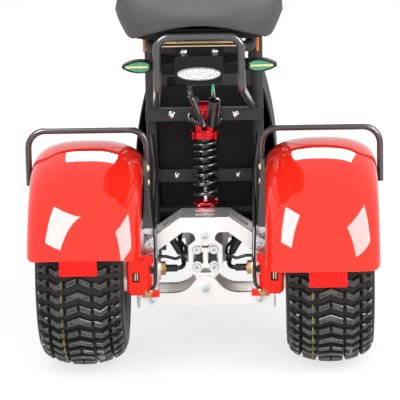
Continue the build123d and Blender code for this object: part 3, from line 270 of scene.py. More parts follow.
# Same rubber as the lugs, made lighter as a painted highlight on the raised bead outlines.
BEAD_HIGHLIGHT = Finish("tyre_bead_painted_highlight", (0.085, 0.082, 0.078), roughness=0.32, specular=0.6)
GROOVE = Finish("tyre_groove", (0.031, 0.0295, 0.0275), roughness=0.45, specular=0.1)
STEEL = Finish("grey_steel", (0.42, 0.41, 0.40), roughness=0.42, metallic=0.9)
ZINC = Finish("bright_zinc", (0.70, 0.72, 0.73), roughness=0.25, metallic=1.0)
# Darker metal for the bottoms of bolt sockets: painted shade of the holes.
SOCKET_SHADE = Finish("bolt_socket_painted_shade", (0.40, 0.41, 0.42), roughness=0.35, metallic=1.0)
SOCKET = Finish("dark_socket", (0.16, 0.16, 0.17), roughness=0.45, metallic=0.7)
DISC = Finish("disc_steel", (0.5, 0.49, 0.48), roughness=0.3, metallic=1.0)
SHOCK_RED = Finish("shock_red", (0.66, 0.008, 0.018), roughness=0.2, metallic=0.85, coat=0.4)
COIL = Finish("spring_black", (0.009, 0.009, 0.0095), roughness=0.2, specular=0.6, coat=0.6)
ANODISED = Finish("red_anodised", (1.0, 0.020, 0.008), roughness=0.3, specular=0.2)
LEATHER = Finish(
    "seat_leather", (0.070, 0.0688, 0.071), roughness=0.57, specular=0.28,
    grain=Grain.LEATHER, scale=330, depth=0.001,
)
GOLD = Finish("yellow_zinc", (0.90, 0.70, 0.40), roughness=0.4, metallic=0.15)
BRASS = Finish("brass", (0.50, 0.30, 0.14), roughness=0.3, metallic=0.9)
CLEAR = Finish("clear_lens", (0.72, 0.72, 0.72), roughness=0.2, coat=0.2, scale=205, dots=(0.06, 0.06, 0.06))
GLASS = Finish("headlamp_glass", (0.75, 0.78, 0.8), roughness=0.06, coat=1.0)
REFLECTOR = Finish(
    "red_reflector", (0.92, 0.004, 0.001), roughness=0.15, specular=0.25,
    grain=Grain.CUBES, scale=230, depth=0.0012,
)
AMBER = Finish(
    "amber_reflector", (0.9, 0.2, 0.01), roughness=0.2, coat=0.6,
    grain=Grain.CUBES, scale=260, depth=0.0004,
)
GREY = Finish("deck_grey", (0.40, 0.34, 0.31), roughness=0.4, metallic=0.3)
MAT = Finish("deck_mat", (0.02, 0.02, 0.021), roughness=0.6, grain=Grain.RIBS, scale=30, depth=0.001)
# Dark green board; its lighter green dots are painted reflections of the lens over it.
BOARD_WITH_GLINTS = Finish(
    "indicator_board_painted_glints", (0.012, 0.20, 0.10), roughness=0.25, coat=0.8, scale=420, dots=(0.10, 0.34, 0.22)
)
STRIP = Finish(
    "indicator_strip", (0.75, 0.55, 0.12), roughness=0.3, coat=0.8, scale=240, dots=(0.95, 0.90, 0.55)
)

NODE_FINISH: dict[Finish, tuple[str, ...]] = {
    RED: ("rear_fender_left", "rear_fender_right", "front_fender"),
    ALLOY: (
        "upper_arm", "lower_arm", "tilt_block", "knuckles", "rear_hub_left", "rear_hub_right", "front_hub",
    ),
    TYRE: ("rear_tyre_left", "rear_tyre_right", "front_tyre"),
    ZINC: ("pivot_bolts", "block_bolts", "front_axle", "swingarm_shaft"),
    STEEL: ("swingarm",),
    CAGE: ("rear_cage", "seat_rails"),
    BRASS: ("rear_axles",),
    DISC: ("rear_disc_left", "rear_disc_right", "front_disc"),
    ANODISED: ("rear_calipers", "front_caliper", "shock_body"),
    PLASTIC: ("tail_lamp", "indicators", "seat_pan", "headlamp", "display", "lamp_bracket"),
    CASE: ("battery_box",),
    COVER: ("body_cover",),
    RUBBER: ("grips", "motor_cables", "tail_wiring"),
    HOSE: ("brake_hoses",),
    MAT: ("deck_mat",),
    LEATHER: ("seat_cushion",),
    GOLD: ("seat_latch",),
    CLEAR: ("tail_lens",),
    GLASS: ("headlamp_lens",),
    REFLECTOR: ("rear_reflectors",),
    AMBER: ("side_reflectors",),
    GREY: ("deck_tray",),
}

EDGES: dict[str, tuple[Finish, float]] = {
    "upper_arm": (ALLOY, 0.0012),
    "lower_arm": (ALLOY, 0.0012),
    "tilt_block": (ALLOY, 0.0012),
    "knuckles": (ALLOY, 0.0012),
    "rear_calipers": (ANODISED, 0.001),
    "tail_lamp": (PLASTIC, 0.0015),
}


def dress_nodes() -> None:
    """Give every CAD node its finish; nodes that no finish lists are black paint."""
    listed = {name: finish for finish, names in NODE_FINISH.items() for name in names}
    for name, node in NODES.items():
        node.data.materials.clear()
        node.data.materials.append(listed.get(name, BLACK).material())


def at(x: float, y: float, z: float) -> np.ndarray:
    """Point given in millimetres from the rear axle's middle.

    Args:
        x: To the right.
        y: Forward.
        z: Up.

    Returns:
        The point in the row frame, in metres.
    """
    return np.array([x, y, z]) / 1000 + (0.0, REAR_Y, AXLE_Z)


def new_piece(
    name: str,
    shape: Mesh,
    finish: Finish,
    body: str = FRAME,
    stands_for: tuple[str, ...] = (),
    sharp: float = 35.0,
) -> bpy.types.Object:
    """Put whole arrays into a mesh object that rides on a body.

    Args:
        name: The piece's name.
        shape: Corner positions in the row frame and corner numbers of each face.
        finish: The finish of the whole piece.
        body: The CAD body that it moves with.
        stands_for: CAD nodes that it is shown in place of.
        sharp: Edges over this angle, in degrees, stay sharp.

    Returns:
        The new object.
    """
    points, faces = shape
    mesh = bpy.data.meshes.new(name)
    mesh.from_pydata(points.reshape(-1, 3).tolist(), [], faces)
    mesh.update()
    mesh.shade_smooth()
    mesh.set_sharp_from_angle(angle=math.radians(sharp))
    mesh.materials.append(finish.material())
    obj = bpy.data.objects.new(name, mesh)
    bpy.context.scene.collection.objects.link(obj)
    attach(obj, body)
    if stands_for:
        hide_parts(*stands_for)
    LOG.info("%s: %d faces", name, len(faces))
    return obj


def bevelled(
    node: str, finish: Finish, width: float, body: str = FRAME, angle: float = 28.0
) -> bpy.types.Object:
    """Merged copy of a CAD node with small live bevels on its sharp edges, shown in the node's place.

    Args:
        node: The CAD node.
        finish: The copy's finish.
        width: Bevel width.
        body: The CAD body that it moves with.
        angle: Edges over this angle, in degrees, get the bevel.

    Returns:
        The new object.
    """
    mesh = NODES[node].data.copy()
    mesh.name = f"{node}_edges"
    work = bmesh.new()
    work.from_mesh(mesh)
    bmesh.ops.remove_doubles(work, verts=work.verts, dist=2e-5)
    bmesh.ops.dissolve_limit(work, angle_limit=math.radians(0.5), verts=work.verts, edges=work.edges)
    work.to_mesh(mesh)
    work.free()
    mesh.materials.clear()
    mesh.materials.append(finish.material())
    mesh.shade_smooth()
    mesh.set_sharp_from_angle(angle=math.radians(angle))
    obj = bpy.data.objects.new(mesh.name, mesh)
    bpy.context.scene.collection.objects.link(obj)
    edge = obj.modifiers.new("edges", "BEVEL")
    edge.width = width
    edge.segments = 2
    edge.limit_method = "ANGLE"
    edge.angle_limit = math.radians(angle)
    edge.harden_normals = True
    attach(obj, body)
    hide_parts(node)
    return obj


def grid_faces(
    rows: int, cols: int, wrap_rows: bool = False, wrap_cols: bool = False
) -> list[list[int]]:
    """Quads of a grid of rows x cols corners, joined round where wrapped.

    Args:
        rows: Corners along the first parameter.
        cols: Corners along the second parameter.
        wrap_rows: Join the last row to the first.
        wrap_cols: Join the last column to the first.

    Returns:
        Corner numbers of the quads.
    """
    row, col = np.meshgrid(
        np.arange(rows - (not wrap_rows)), np.arange(cols - (not wrap_cols)), indexing="ij"
    )
    here, after = row * cols, (row + 1) % rows * cols
    beside = (col + 1) % cols
    quads = np.stack([here + col, after + col, after + beside, here + beside], -1)
    return quads.reshape(-1, 4).tolist()


def rings(points: np.ndarray) -> Mesh:
    """Close a stack of rings, shape (rows, cols, 3), with a flat face at both ends.

    Args:
        points: The rings, each running so that the first one faces away from the others.

    Returns:
        Points and faces.
    """
    rows, cols = points.shape[:2]
    faces = grid_faces(rows, cols, wrap_cols=True)
    faces += [list(range(cols)), list(range(rows * cols - 1, (rows - 1) * cols - 1, -1))]
    return points.reshape(-1, 3), faces


def join(*shapes: Mesh) -> Mesh:
    """Several shapes as one.

    Args:
        shapes: Points and faces of each.

    Returns:
        All points and all faces.
    """
    starts = np.cumsum([0] + [points.reshape(-1, 3).shape[0] for points, _ in shapes])
    faces = [[c + int(s) for c in face] for s, (_, more) in zip(starts, shapes) for face in more]
    return np.concatenate([points.reshape(-1, 3) for points, _ in shapes]), faces


def side_axes(along: np.ndarray) -> tuple[np.ndarray, np.ndarray]:
    """Two unit directions across each direction, with first x second pointing backwards along it.

    Args:
        along: Unit directions, shape (n, 3).

    Returns:
        First and second directions, shape (n, 3) each.
    """
    guide = np.eye(3)[np.argmin(np.abs(along).max(0))]
    first = np.cross(guide, along)
    first /= np.linalg.norm(first, axis=1, keepdims=True)
    return first, np.cross(first, along)


def lathe(profile: list[tuple[float, float]], origin: np.ndarray, axis: Point, steps: int = 40) -> Mesh:
    """Turned shape: origin + a * axis + r * (cos t * u + sin t * v).

    Args:
        profile: Distances a along the axis and radii r, in millimetres.
        origin: Where a is 0.
        axis: Direction of the axis.
        steps: Corners round the axis.

    Returns:
        Points and faces.
    """
    a, r = np.array(profile, float).T / 1000
    way = np.array(axis, float) / np.linalg.norm(axis)
    u, v = side_axes(way[None])
    t = np.linspace(0, 2 * np.pi, steps, endpoint=False)[None, :, None]
    return rings(origin + a[:, None, None] * way + r[:, None, None] * (np.cos(t) * u + np.sin(t) * v))


def tube(path: np.ndarray, radius: float | np.ndarray, sides: int = 12) -> Mesh:
    """Round bar along a path: p + r * (cos t * u + sin t * v), u and v across the path.

    Args:
        path: Points, shape (n, 3).
        radius: One radius, or one per point.
        sides: Corners round the bar.

    Returns:
        Points and faces.
    """
    along = np.gradient(path, axis=0)
    along /= np.linalg.norm(along, axis=1, keepdims=True)
    u, v = side_axes(along)
    t = np.linspace(0, 2 * np.pi, sides, endpoint=False)[None, :, None]
    r = np.broadcast_to(np.asarray(radius, float), len(path))[:, None, None]
    return rings(path[:, None] + r * (np.cos(t) * u[:, None] + np.sin(t) * v[:, None]))


def route(corners: list[np.ndarray], bend: float, step: float = 0.003) -> np.ndarray:
    """Straight runs joined by tangent arcs, cut into even steps.

    At a corner the path leaves the run at d = bend * tan(turn / 2) before it and follows the arc
    c + bend * (cos t * e1 + sin t * e2) to d after it.

    Args:
        corners: Corner points.
        bend: Radius of every arc.
        step: Length of a step.

    Returns:
        Points, shape (n, 3).
    """
    runs = [corners[0][None]]
    for before, here, after in zip(corners, corners[1:], corners[2:]):
        a, b = (before - here), (after - here)
        a, b = a / np.linalg.norm(a), b / np.linalg.norm(b)
        half = math.acos(np.clip(a @ b, -1, 1)) / 2
        middle = here + (a + b) / np.linalg.norm(a + b) * bend / math.sin(half)
        start = here + a * bend / math.tan(half) - middle
        end = here + b * bend / math.tan(half) - middle
        sweep = math.pi - 2 * half
        t = np.linspace(0, 1, 9)[:, None]
        runs.append(middle + (np.sin((1 - t) * sweep) * start + np.sin(t * sweep) * end) / math.sin(sweep))
    points = np.concatenate(runs + [corners[-1][None]])
    reach = np.concatenate([[0], np.cumsum(np.linalg.norm(np.diff(points, axis=0), axis=1))])
    even = np.linspace(0, reach[-1], max(int(reach[-1] / step), 2))
    return np.stack([np.interp(even, reach, points[:, k]) for k in range(3)], 1)


def coil(path: np.ndarray, radius: float, pitch: float, steps: int = 24) -> np.ndarray:
    """Helix round a path: p(s) + radius * (cos f * u + sin f * v) with f = 2 pi s / pitch.

    Args:
        path: Points in even steps.
        radius: Radius of the helix.
        pitch: Length of one turn.
        steps: Points in a turn.

    Returns:
        Points of the helix.
    """
    reach = np.concatenate([[0], np.cumsum(np.linalg.norm(np.diff(path, axis=0), axis=1))])
    s = np.linspace(0, reach[-1], int(reach[-1] / pitch * steps))
    middle = np.stack([np.interp(s, reach, path[:, k]) for k in range(3)], 1)
    along = np.gradient(middle, axis=0)
    u, v = side_axes(along / np.linalg.norm(along, axis=1, keepdims=True))
    f = (2 * np.pi * s / pitch)[:, None]
    return middle + radius * (np.cos(f) * u + np.sin(f) * v)


def inset(outline: np.ndarray, amounts: np.ndarray) -> np.ndarray:
    """Mitred copies of a polygon, each moved inwards: corner + (n1 + n2) / (1 + n1.n2) * amount.

    Args:
        outline: Polygon corners, shape (n, 2), counter-clockwise.
        amounts: Inward distances, shape (m,).

    Returns:
        Rings, shape (m, n, 2).
    """
    edge = np.roll(outline, -1, 0) - outline
    edge /= np.linalg.norm(edge, axis=1, keepdims=True)
    after = np.stack([-edge[:, 1], edge[:, 0]], 1)
    before = np.roll(after, 1, 0)
    mitre = (after + before) / (1 + (after * before).sum(1, keepdims=True))
    return outline[None] + amounts[:, None, None] * mitre[None]


def plate(outline: np.ndarray, y0: float, y1: float, edge: float = 0.6) -> Mesh:
    """Flat plate across Y with chamfered edges, from an outline in millimetres from the rear axle.

    Args:
        outline: Corners (x, z), counter-clockwise seen from behind.
        y0: Rear face.
        y1: Front face.
        edge: Chamfer.

    Returns:
        Points and faces.
    """
    flat = inset(np.array(outline, float), np.array([edge, 0, 0, edge]))
    depth = np.array([y0, y0 + edge, y1 - edge, y1])[:, None]
    stack = np.stack([flat[..., 0], np.broadcast_to(depth, flat.shape[:2]), flat[..., 1]], -1)
    return rings(stack / 1000 + (0.0, REAR_Y, AXLE_Z))


def oblong(x0: float, x1: float, z0: float, z1: float) -> np.ndarray:
    """Rectangle as an outline for a plate.

    Args:
        x0: Left edge.
        x1: Right edge.
        z0: Lower edge.
        z1: Upper edge.

    Returns:
        Corners (x, z), counter-clockwise seen from behind.
    """
    return np.array([(x0, z0), (x1, z0), (x1, z1), (x0, z1)], float)


def sided(outline: np.ndarray, side: int) -> np.ndarray:
    """An outline for one side; the left copy's corners run the other way, so it stays counter-clockwise.

    Args:
        outline: Corners (x, z) on the right, counter-clockwise.
        side: 1 for the right, -1 for the left.

    Returns:
        The corners on that side.
    """
    return (outline * (side, 1))[::side]


def mesh_points(mesh: bpy.types.Mesh) -> np.ndarray:
    """Corner positions of a mesh as one array.

    Args:
        mesh: The mesh to read.

    Returns:
        Points, shape (n, 3).
    """
    points = np.empty(len(mesh.vertices) * 3)
    mesh.vertices.foreach_get("co", points)
    return points.reshape(-1, 3)


def direction(azimuth: float, elevation: float) -> Vector:
    """Unit direction from two angles: (sin a cos e, -cos a cos e, sin e).

    Args:
        azimuth: Angle a from straight behind towards the right, in degrees.
        elevation: Angle e over the floor, in degrees.

    Returns:
        The direction from the object outwards.
    """
    a, e = math.radians(azimuth), math.radians(elevation)
    return Vector((math.sin(a) * math.cos(e), -math.cos(a) * math.cos(e), math.sin(e)))


@dataclass(frozen=True)
class Side:
    """What differs between the two rear corners: paint line on the tyre at x, and the fender's tilt."""

    name: str
    sign: int
    paint_line: float
    fender_tilt: float


SIDES = (Side("left", -1, -0.307, 18.0), Side("right", 1, 0.231, 12.0))


@dataclass
class Tyre:
    """Knobbly tyre: a carcass swept round the axle and rows of lugs laid on its envelope.

    The half envelope is three tangent arcs, each running s += p (sin f - sin f0), r -= p (cos f0 - cos f).
    """

    node: str
    body: str
    centre: Point
    finish: Finish
    width: float = 0.190
    turn: float = 0.0
    rows: int = 42
    top_r: float = 0.210
    lug_depth: float = 0.011
    bead_r: float = 0.0895
    bead_in: float = 0.0198
    lip_r: float = 0.1015
    fade: tuple[float, float] = (0.007, 0.014)
    rib: tuple[float, float, float] = (0.0012, 0.016, 0.0016)
    shoulder_r: float = 0.038
    sidewall_r: float = 0.085
    leans: tuple[float, float, float] = (25.0, 85.0, 125.0)
    levels: Outline = ((-1.5, -12.5), (0.0, -2.3), (1.1, -1.2))
    bead: Outline = ((2.2, -1.6), (2.7, 0.0), (4.3, 0.0), (4.8, -1.6))
    plain: Outline = ((-1.5, -12.5), (0.0, -1.3), (1.3, 0.0))
    chevron: Outline = ((27, -16), (27, 0), (0, 12), (-27, 0), (-27, -16), (0, -4))
    split: Outline = ((27, -15.5), (27, 0), (2.2, 11), (2.2, -4.5))
    sides: tuple[Outline, ...] = (
        ((64, -11), (64, 4), (48, -6), (32.5, 2), (32.5, -13), (48, -21)),
    )
    block: Outline = (
        (100, -12), (100, 5), (94, 5), (90, 0.5), (81, 0.5), (77, 5), (69, 5), (72.5, -3.5),
        (69, -12), (77, -12), (81, -7.5), (90, -7.5), (94, -12),
    )

    def arcs(self) -> list[tuple[float, float, float]]:
        """Radius and end leans of the crown, shoulder and sidewall arcs that give the tyre its width.

        Returns:
            Rows of (radius, first lean, last lean), leans in radians.
        """
        crown, shoulder, wall = (math.radians(v) for v in self.leans)
        reach = self.width / 2 - self.shoulder_r * (math.sin(shoulder) - math.sin(crown))
        reach -= self.sidewall_r * (1 - math.sin(shoulder))
        first = reach / math.sin(crown)
        return [(first, 0.0, crown), (self.shoulder_r, crown, shoulder), (self.sidewall_r, shoulder, wall)]

    def envelope(self, arc: np.ndarray) -> tuple[np.ndarray, np.ndarray, np.ndarray]:
        """Envelope at signed arc lengths from the crown.

        Args:
            arc: Arc lengths, positive to the right.

        Returns:
            Side distance, radius and the angle of the outward normal from the radius.
        """
        tilt, side, radius, length = [np.zeros(1)], [np.zeros(1)], [np.full(1, self.top_r)], [np.zeros(1)]
        for p, lo, hi in self.arcs():
            f = np.linspace(lo, hi, 40)[1:]
            side.append(side[-1][-1] + p * (np.sin(f) - math.sin(lo)))
            radius.append(radius[-1][-1] - p * (math.cos(lo) - np.cos(f)))
            length.append(length[-1][-1] + p * (f - lo))
            tilt.append(f)
        along = np.concatenate(length)
        reach = np.abs(arc)
        values = [np.interp(reach, along, np.concatenate(v)) for v in (side, radius, tilt)]
        return np.sign(arc) * values[0], values[1], np.sign(arc) * values[2]

    def place(self, arc: np.ndarray, height: np.ndarray, angle: np.ndarray) -> np.ndarray:
        """Points at an arc length, a height over the envelope and an angle round the axle.

        Args:
            arc: Signed arc lengths from the crown.
            height: Heights along the outward normal.
            angle: Angles round the axle, 0 to the rear and growing upwards.

        Returns:
            Points, one per broadcast element.
        """
        side, radius, tilt = self.envelope(arc)
        side = side + height * np.sin(tilt)
        radius = radius + height * np.cos(tilt)
        x, y, z = self.centre
        side, radius, angle = np.broadcast_arrays(side, radius, angle)
        return np.stack([x + side, y - radius * np.cos(angle), z + radius * np.sin(angle)], -1)

    def carcass(self) -> Mesh:
        """Groove floor, sidewalls and beads as one closed grid round the axle.

        The floor fades out at the shoulder, f^2 (3 - 2 f), and a rib exp(-(d / w)^2) runs round the sidewall.

        Returns:
            Points and faces.
        """
        spans = [p * (hi - lo) for p, lo, hi in self.arcs()]
        edge = spans[0] + spans[1]
        arc = np.linspace(-sum(spans), sum(spans), 97)
        end, long = self.fade
        fade = np.clip((edge - end - np.abs(arc)) / long, 0, 1)
        tall, past, wide = self.rib
        rib = tall * np.exp(-(((np.abs(arc) - edge - past) / wide) ** 2))
        height = -self.lug_depth * fade**2 * (3 - 2 * fade) + rib
        angle = np.radians(np.arange(0, 360, 2.0))
        wall = self.place(arc[None], height[None], angle[:, None])
        x, y, z = self.centre
        bead_side = np.array([1, 1, -1, -1]) * (self.width / 2 - self.bead_in)
        bead_r = np.array([self.lip_r, self.bead_r, self.bead_r, self.lip_r])
        bead = np.stack([
            np.broadcast_to(x + bead_side, (len(angle), 4)),
            y - bead_r * np.cos(angle)[:, None],
            z + bead_r * np.sin(angle)[:, None],
        ], -1)
        points = np.concatenate([wall, bead], 1)
        return points, grid_faces(len(angle), points.shape[1], True, True)

    def lugs(self, outline: Outline, rows: np.ndarray, flip: bool, levels: Outline) -> Mesh:
        """One kind of lug on many rows: insets of its outline at the levels, closed at both ends.

        Args:
            outline: Corners as (arc, along the tread) in millimetres.
            rows: Row numbers.
            flip: Lay it on the left half instead.
            levels: Rows of (inset, height over the envelope) in millimetres.

        Returns:
            Points and faces.
        """
        levels = np.array(levels)
        stack = inset(np.array(outline, float), levels[:, 0])
        if flip:
            stack = stack[:, ::-1] * (-1, 1)
        count, corners = stack.shape[:2]
        stack = stack / 1000
        angle = 2 * np.pi * rows[:, None, None] / self.rows + stack[None, ..., 1] / self.top_r + self.turn
        points = self.place(stack[None, ..., 0], levels[None, :, None, 1] / 1000, angle)
        one = np.array(grid_faces(count, corners, wrap_cols=True))
        base = np.arange(len(rows))[:, None, None] * count * corners
        faces = (one[None] + base).reshape(-1, 4).tolist()
        ends = np.stack([np.arange(corners)[::-1], np.arange(corners) + (count - 1) * corners])
        faces += (ends[None] + base).reshape(-1, corners).tolist()
        return points.reshape(-1, 3), faces

    def build(self) -> None:
        """Carcass in the CAD tyre's place, with the lugs and their raised bead outlines as two more pieces;
        the bead outlines get a lighter rubber colour as a painted highlight.
        """
        every = np.arange(self.rows)
        kinds = [(self.chevron, every[::2], False)]
        kinds += [(self.split, every[1::2], flip) for flip in (False, True)]
        kinds += [(outline, every, flip) for outline in self.sides for flip in (False, True)]
        blocks = [self.lugs(self.block, every, flip, self.plain) for flip in (False, True)]
        lugs = join(*blocks, *(self.lugs(*kind, self.levels) for kind in kinds))
        new_piece(f"{self.node}_carcass", self.carcass(), GROOVE, self.body, (self.node,))
        new_piece(f"{self.node}_lugs", lugs, self.finish, self.body, sharp=30)
        # Bead outlines are coloured lighter than the lugs: a painted highlight on their lit edges.
        highlight_beads = join(*(self.lugs(*kind, self.bead) for kind in kinds))
        new_piece(f"{self.node}_beads", highlight_beads, BEAD_HIGHLIGHT, self.body, sharp=30)


@dataclass
class Fender:
    """Rear fender: a superelliptic section swept round the axle, as one smooth shell.

    The section is x = half * c^(2 / square), r = foot + deep * s^(2 / crown), c and s the cosine and sine.
    """

    side: str
    mid_x: float
    tilt: float
    half: float = 0.122
    top_r: float = 0.285
    deep: float = 0.062
    span: float = 98.0
    wall: float = 0.004
    end_r: float = 0.020
    square: float = 2.7
    crown: float = 2.3

    def section(self, sink: float, count: int = 81) -> np.ndarray:
        """Points of the section at even steps.

        Args:
            sink: How far inside the outer face.
            count: Number of points.

        Returns:
            Rows of (x, radius).
        """
        t = np.linspace(0, np.pi, 721)
        x = -np.sign(np.cos(t)) * (self.half - sink) * np.abs(np.cos(t)) ** (2 / self.square)
        r = self.top_r - self.deep + (self.deep - sink) * np.abs(np.sin(t)) ** (2 / self.crown)
        reach = np.concatenate([[0], np.cumsum(np.hypot(np.diff(x), np.diff(r)))])
        even = np.linspace(0, reach[-1], count)
        return np.stack([np.interp(even, reach, x), np.interp(even, reach, r)], 1)

    def build(self) -> None:
        """Sweep the outer and inner faces and close the edges."""
        loop = np.concatenate([self.section(0.0), self.section(self.wall)[::-1]])
        x, r = loop.T
        out = np.clip(np.abs(x) - (self.half - self.end_r), 0, self.end_r)
        cut = (self.end_r - np.sqrt(self.end_r**2 - out**2)) / self.top_r
        start, stop = math.radians(self.tilt) + cut, math.radians(self.tilt + self.span) - cut
        u = np.linspace(0, 1, 73)[:, None]
        angle = start + u * (stop - start)
        points = np.stack([
            np.broadcast_to(self.mid_x + x, angle.shape),
            REAR_Y - r * np.cos(angle),
            AXLE_Z + r * np.sin(angle),
        ], -1)
        rows, cols = angle.shape
        faces = grid_faces(rows, cols, wrap_cols=True)
        near = np.arange(cols // 2 - 1)
        strip = np.stack([near, near + 1, cols - 2 - near, cols - 1 - near], 1)
        faces += strip.tolist() + (strip[:, ::-1] + (rows - 1) * cols).tolist()
        new_piece(f"fender_{self.side}", (points, faces), RED, FRAME, (f"rear_fender_{self.side}",), sharp=50)


@dataclass
class Seat:
    """Leather saddle: the CAD cushion, swollen by a pressure simulation held at its lower edge."""

    voxel: float = 0.006
    length: float = 0.965
    taper: Outline = ((0.762, 0.925), (0.800, 0.93), (0.842, 0.945), (0.888, 0.92))
    drop: tuple[float, float, float] = (0.790, 0.008, 0.028)
    pressure: float = 4.0
    frames: int = 20
    most: float = 0.007
    held_below: float = 0.800
    seam_turn: tuple[float, float] = (38.0, 84.0)
    seam_rise: tuple[float, float] = (0.874, 0.786)
    seam_core: float = 0.16
    seam_r: float = 0.0013

    def build(self) -> None:
        """Remesh, inflate, cap the movement and leave one subdivision live."""
        scene = bpy.context.scene
        source = NODES["seat_cushion"].data.copy()
        source.name = "seat_leather"
        source.materials.clear()
        source.materials.append(LEATHER.material())
        seat = bpy.data.objects.new("seat_leather", source)
        scene.collection.objects.link(seat)
        rest = self._remesh(seat)
        self._swell(seat, rest)
        even = seat.modifiers.new("even", "SMOOTH")
        even.factor = 0.5
        even.iterations = 30
        even.vertex_group = "held"
        even.invert_vertex_group = True
        self._settle(seat)
        seat.data.shade_smooth()
        smooth = seat.modifiers.new("smooth", "SUBSURF")
        smooth.levels = smooth.render_levels = 1
        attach(seat, "seat")
        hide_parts("seat_cushion")
        self._seams(seat)

    def _seams(self, seat: bpy.types.Object) -> None:
        """Piping down both rear corners, where rays from inside the cushion meet its face.

        Args:
            seat: The finished cushion.
        """
        tree = BVHTree.FromObject(seat, bpy.context.evaluated_depsgraph_get())
        core = mesh_points(seat.data)[:, 1].min() + self.seam_core
        turn = np.radians(np.linspace(*self.seam_turn, 26))
        rise = np.linspace(*self.seam_rise, 26)
        seams = []
        for side in (-1, 1):
            ways = np.stack([side * np.sin(turn), -np.cos(turn), 0 * turn], 1)
            hits = [tree.ray_cast(Vector((0, core, z)), Vector(way))[0] for z, way in zip(rise, ways)]
            seams.append(tube(np.array(hits), self.seam_r, 8))
        new_piece("seat_seams", join(*seams), LEATHER, "seat")

    def _remesh(self, seat: bpy.types.Object) -> np.ndarray:
        """Even quads over a slightly smaller copy of the solid, narrower towards its lower edge.

        Args:
            seat: The cushion's object.

        Returns:
            Points of the new mesh.
        """
        points = mesh_points(seat.data)
        heights, widths = np.array(self.taper).T
        middle = (points[:, 1].max() + points[:, 1].min()) / 2
        points[:, 0] *= np.interp(points[:, 2], heights, widths)
        points[:, 1] = middle + (points[:, 1] - middle) * self.length
        edge, deep, long = self.drop
        points[:, 2] -= deep * np.clip((edge - points[:, 2]) / long, 0, 1)
        seat.data.vertices.foreach_set("co", points.ravel())
        grid = seat.modifiers.new("grid", "REMESH")
        grid.mode = "VOXEL"
        grid.voxel_size = self.voxel
        even = seat.modifiers.new("even", "SMOOTH")
        even.factor = 0.5
        even.iterations = 3
        points = self._settle(seat)
        held = seat.vertex_groups.new(name="held")
        held.add(np.flatnonzero(points[:, 2] < self.held_below).tolist(), 1.0, "REPLACE")
        return points

    def _settle(self, seat: bpy.types.Object) -> np.ndarray:
        """Apply every modifier of the cushion.

        Args:
            seat: The cushion's object.

        Returns:
            Points of the applied mesh.
        """
        graph = bpy.context.evaluated_depsgraph_get()
        done = bpy.data.meshes.new_from_object(seat.evaluated_get(graph))
        seat.modifiers.clear()
        seat.data = done
        return mesh_points(done)

    def _swell(self, seat: bpy.types.Object, rest: np.ndarray) -> None:
        """Cloth under inner pressure without gravity; a point moves by the cap at most.

        Args:
            seat: The cushion's object.
            rest: Its points before the simulation.
        """
        scene = bpy.context.scene
        cloth = seat.modifiers.new("cloth", "CLOTH")
        cloth.settings.use_pressure = True
        cloth.settings.uniform_pressure_force = self.pressure
        cloth.settings.effector_weights.gravity = 0.0
        cloth.settings.vertex_group_mass = "held"
        cloth.point_cache.frame_end = self.frames
        for number in range(1, self.frames + 1):
            scene.frame_set(number)
        move = self._settle(seat) - rest
        far = np.linalg.norm(move, axis=1, keepdims=True)
        move *= np.minimum(1.0, self.most / np.maximum(far, 1e-9))
        seat.data.vertices.foreach_set("co", (rest + move).ravel())
        scene.frame_set(1)


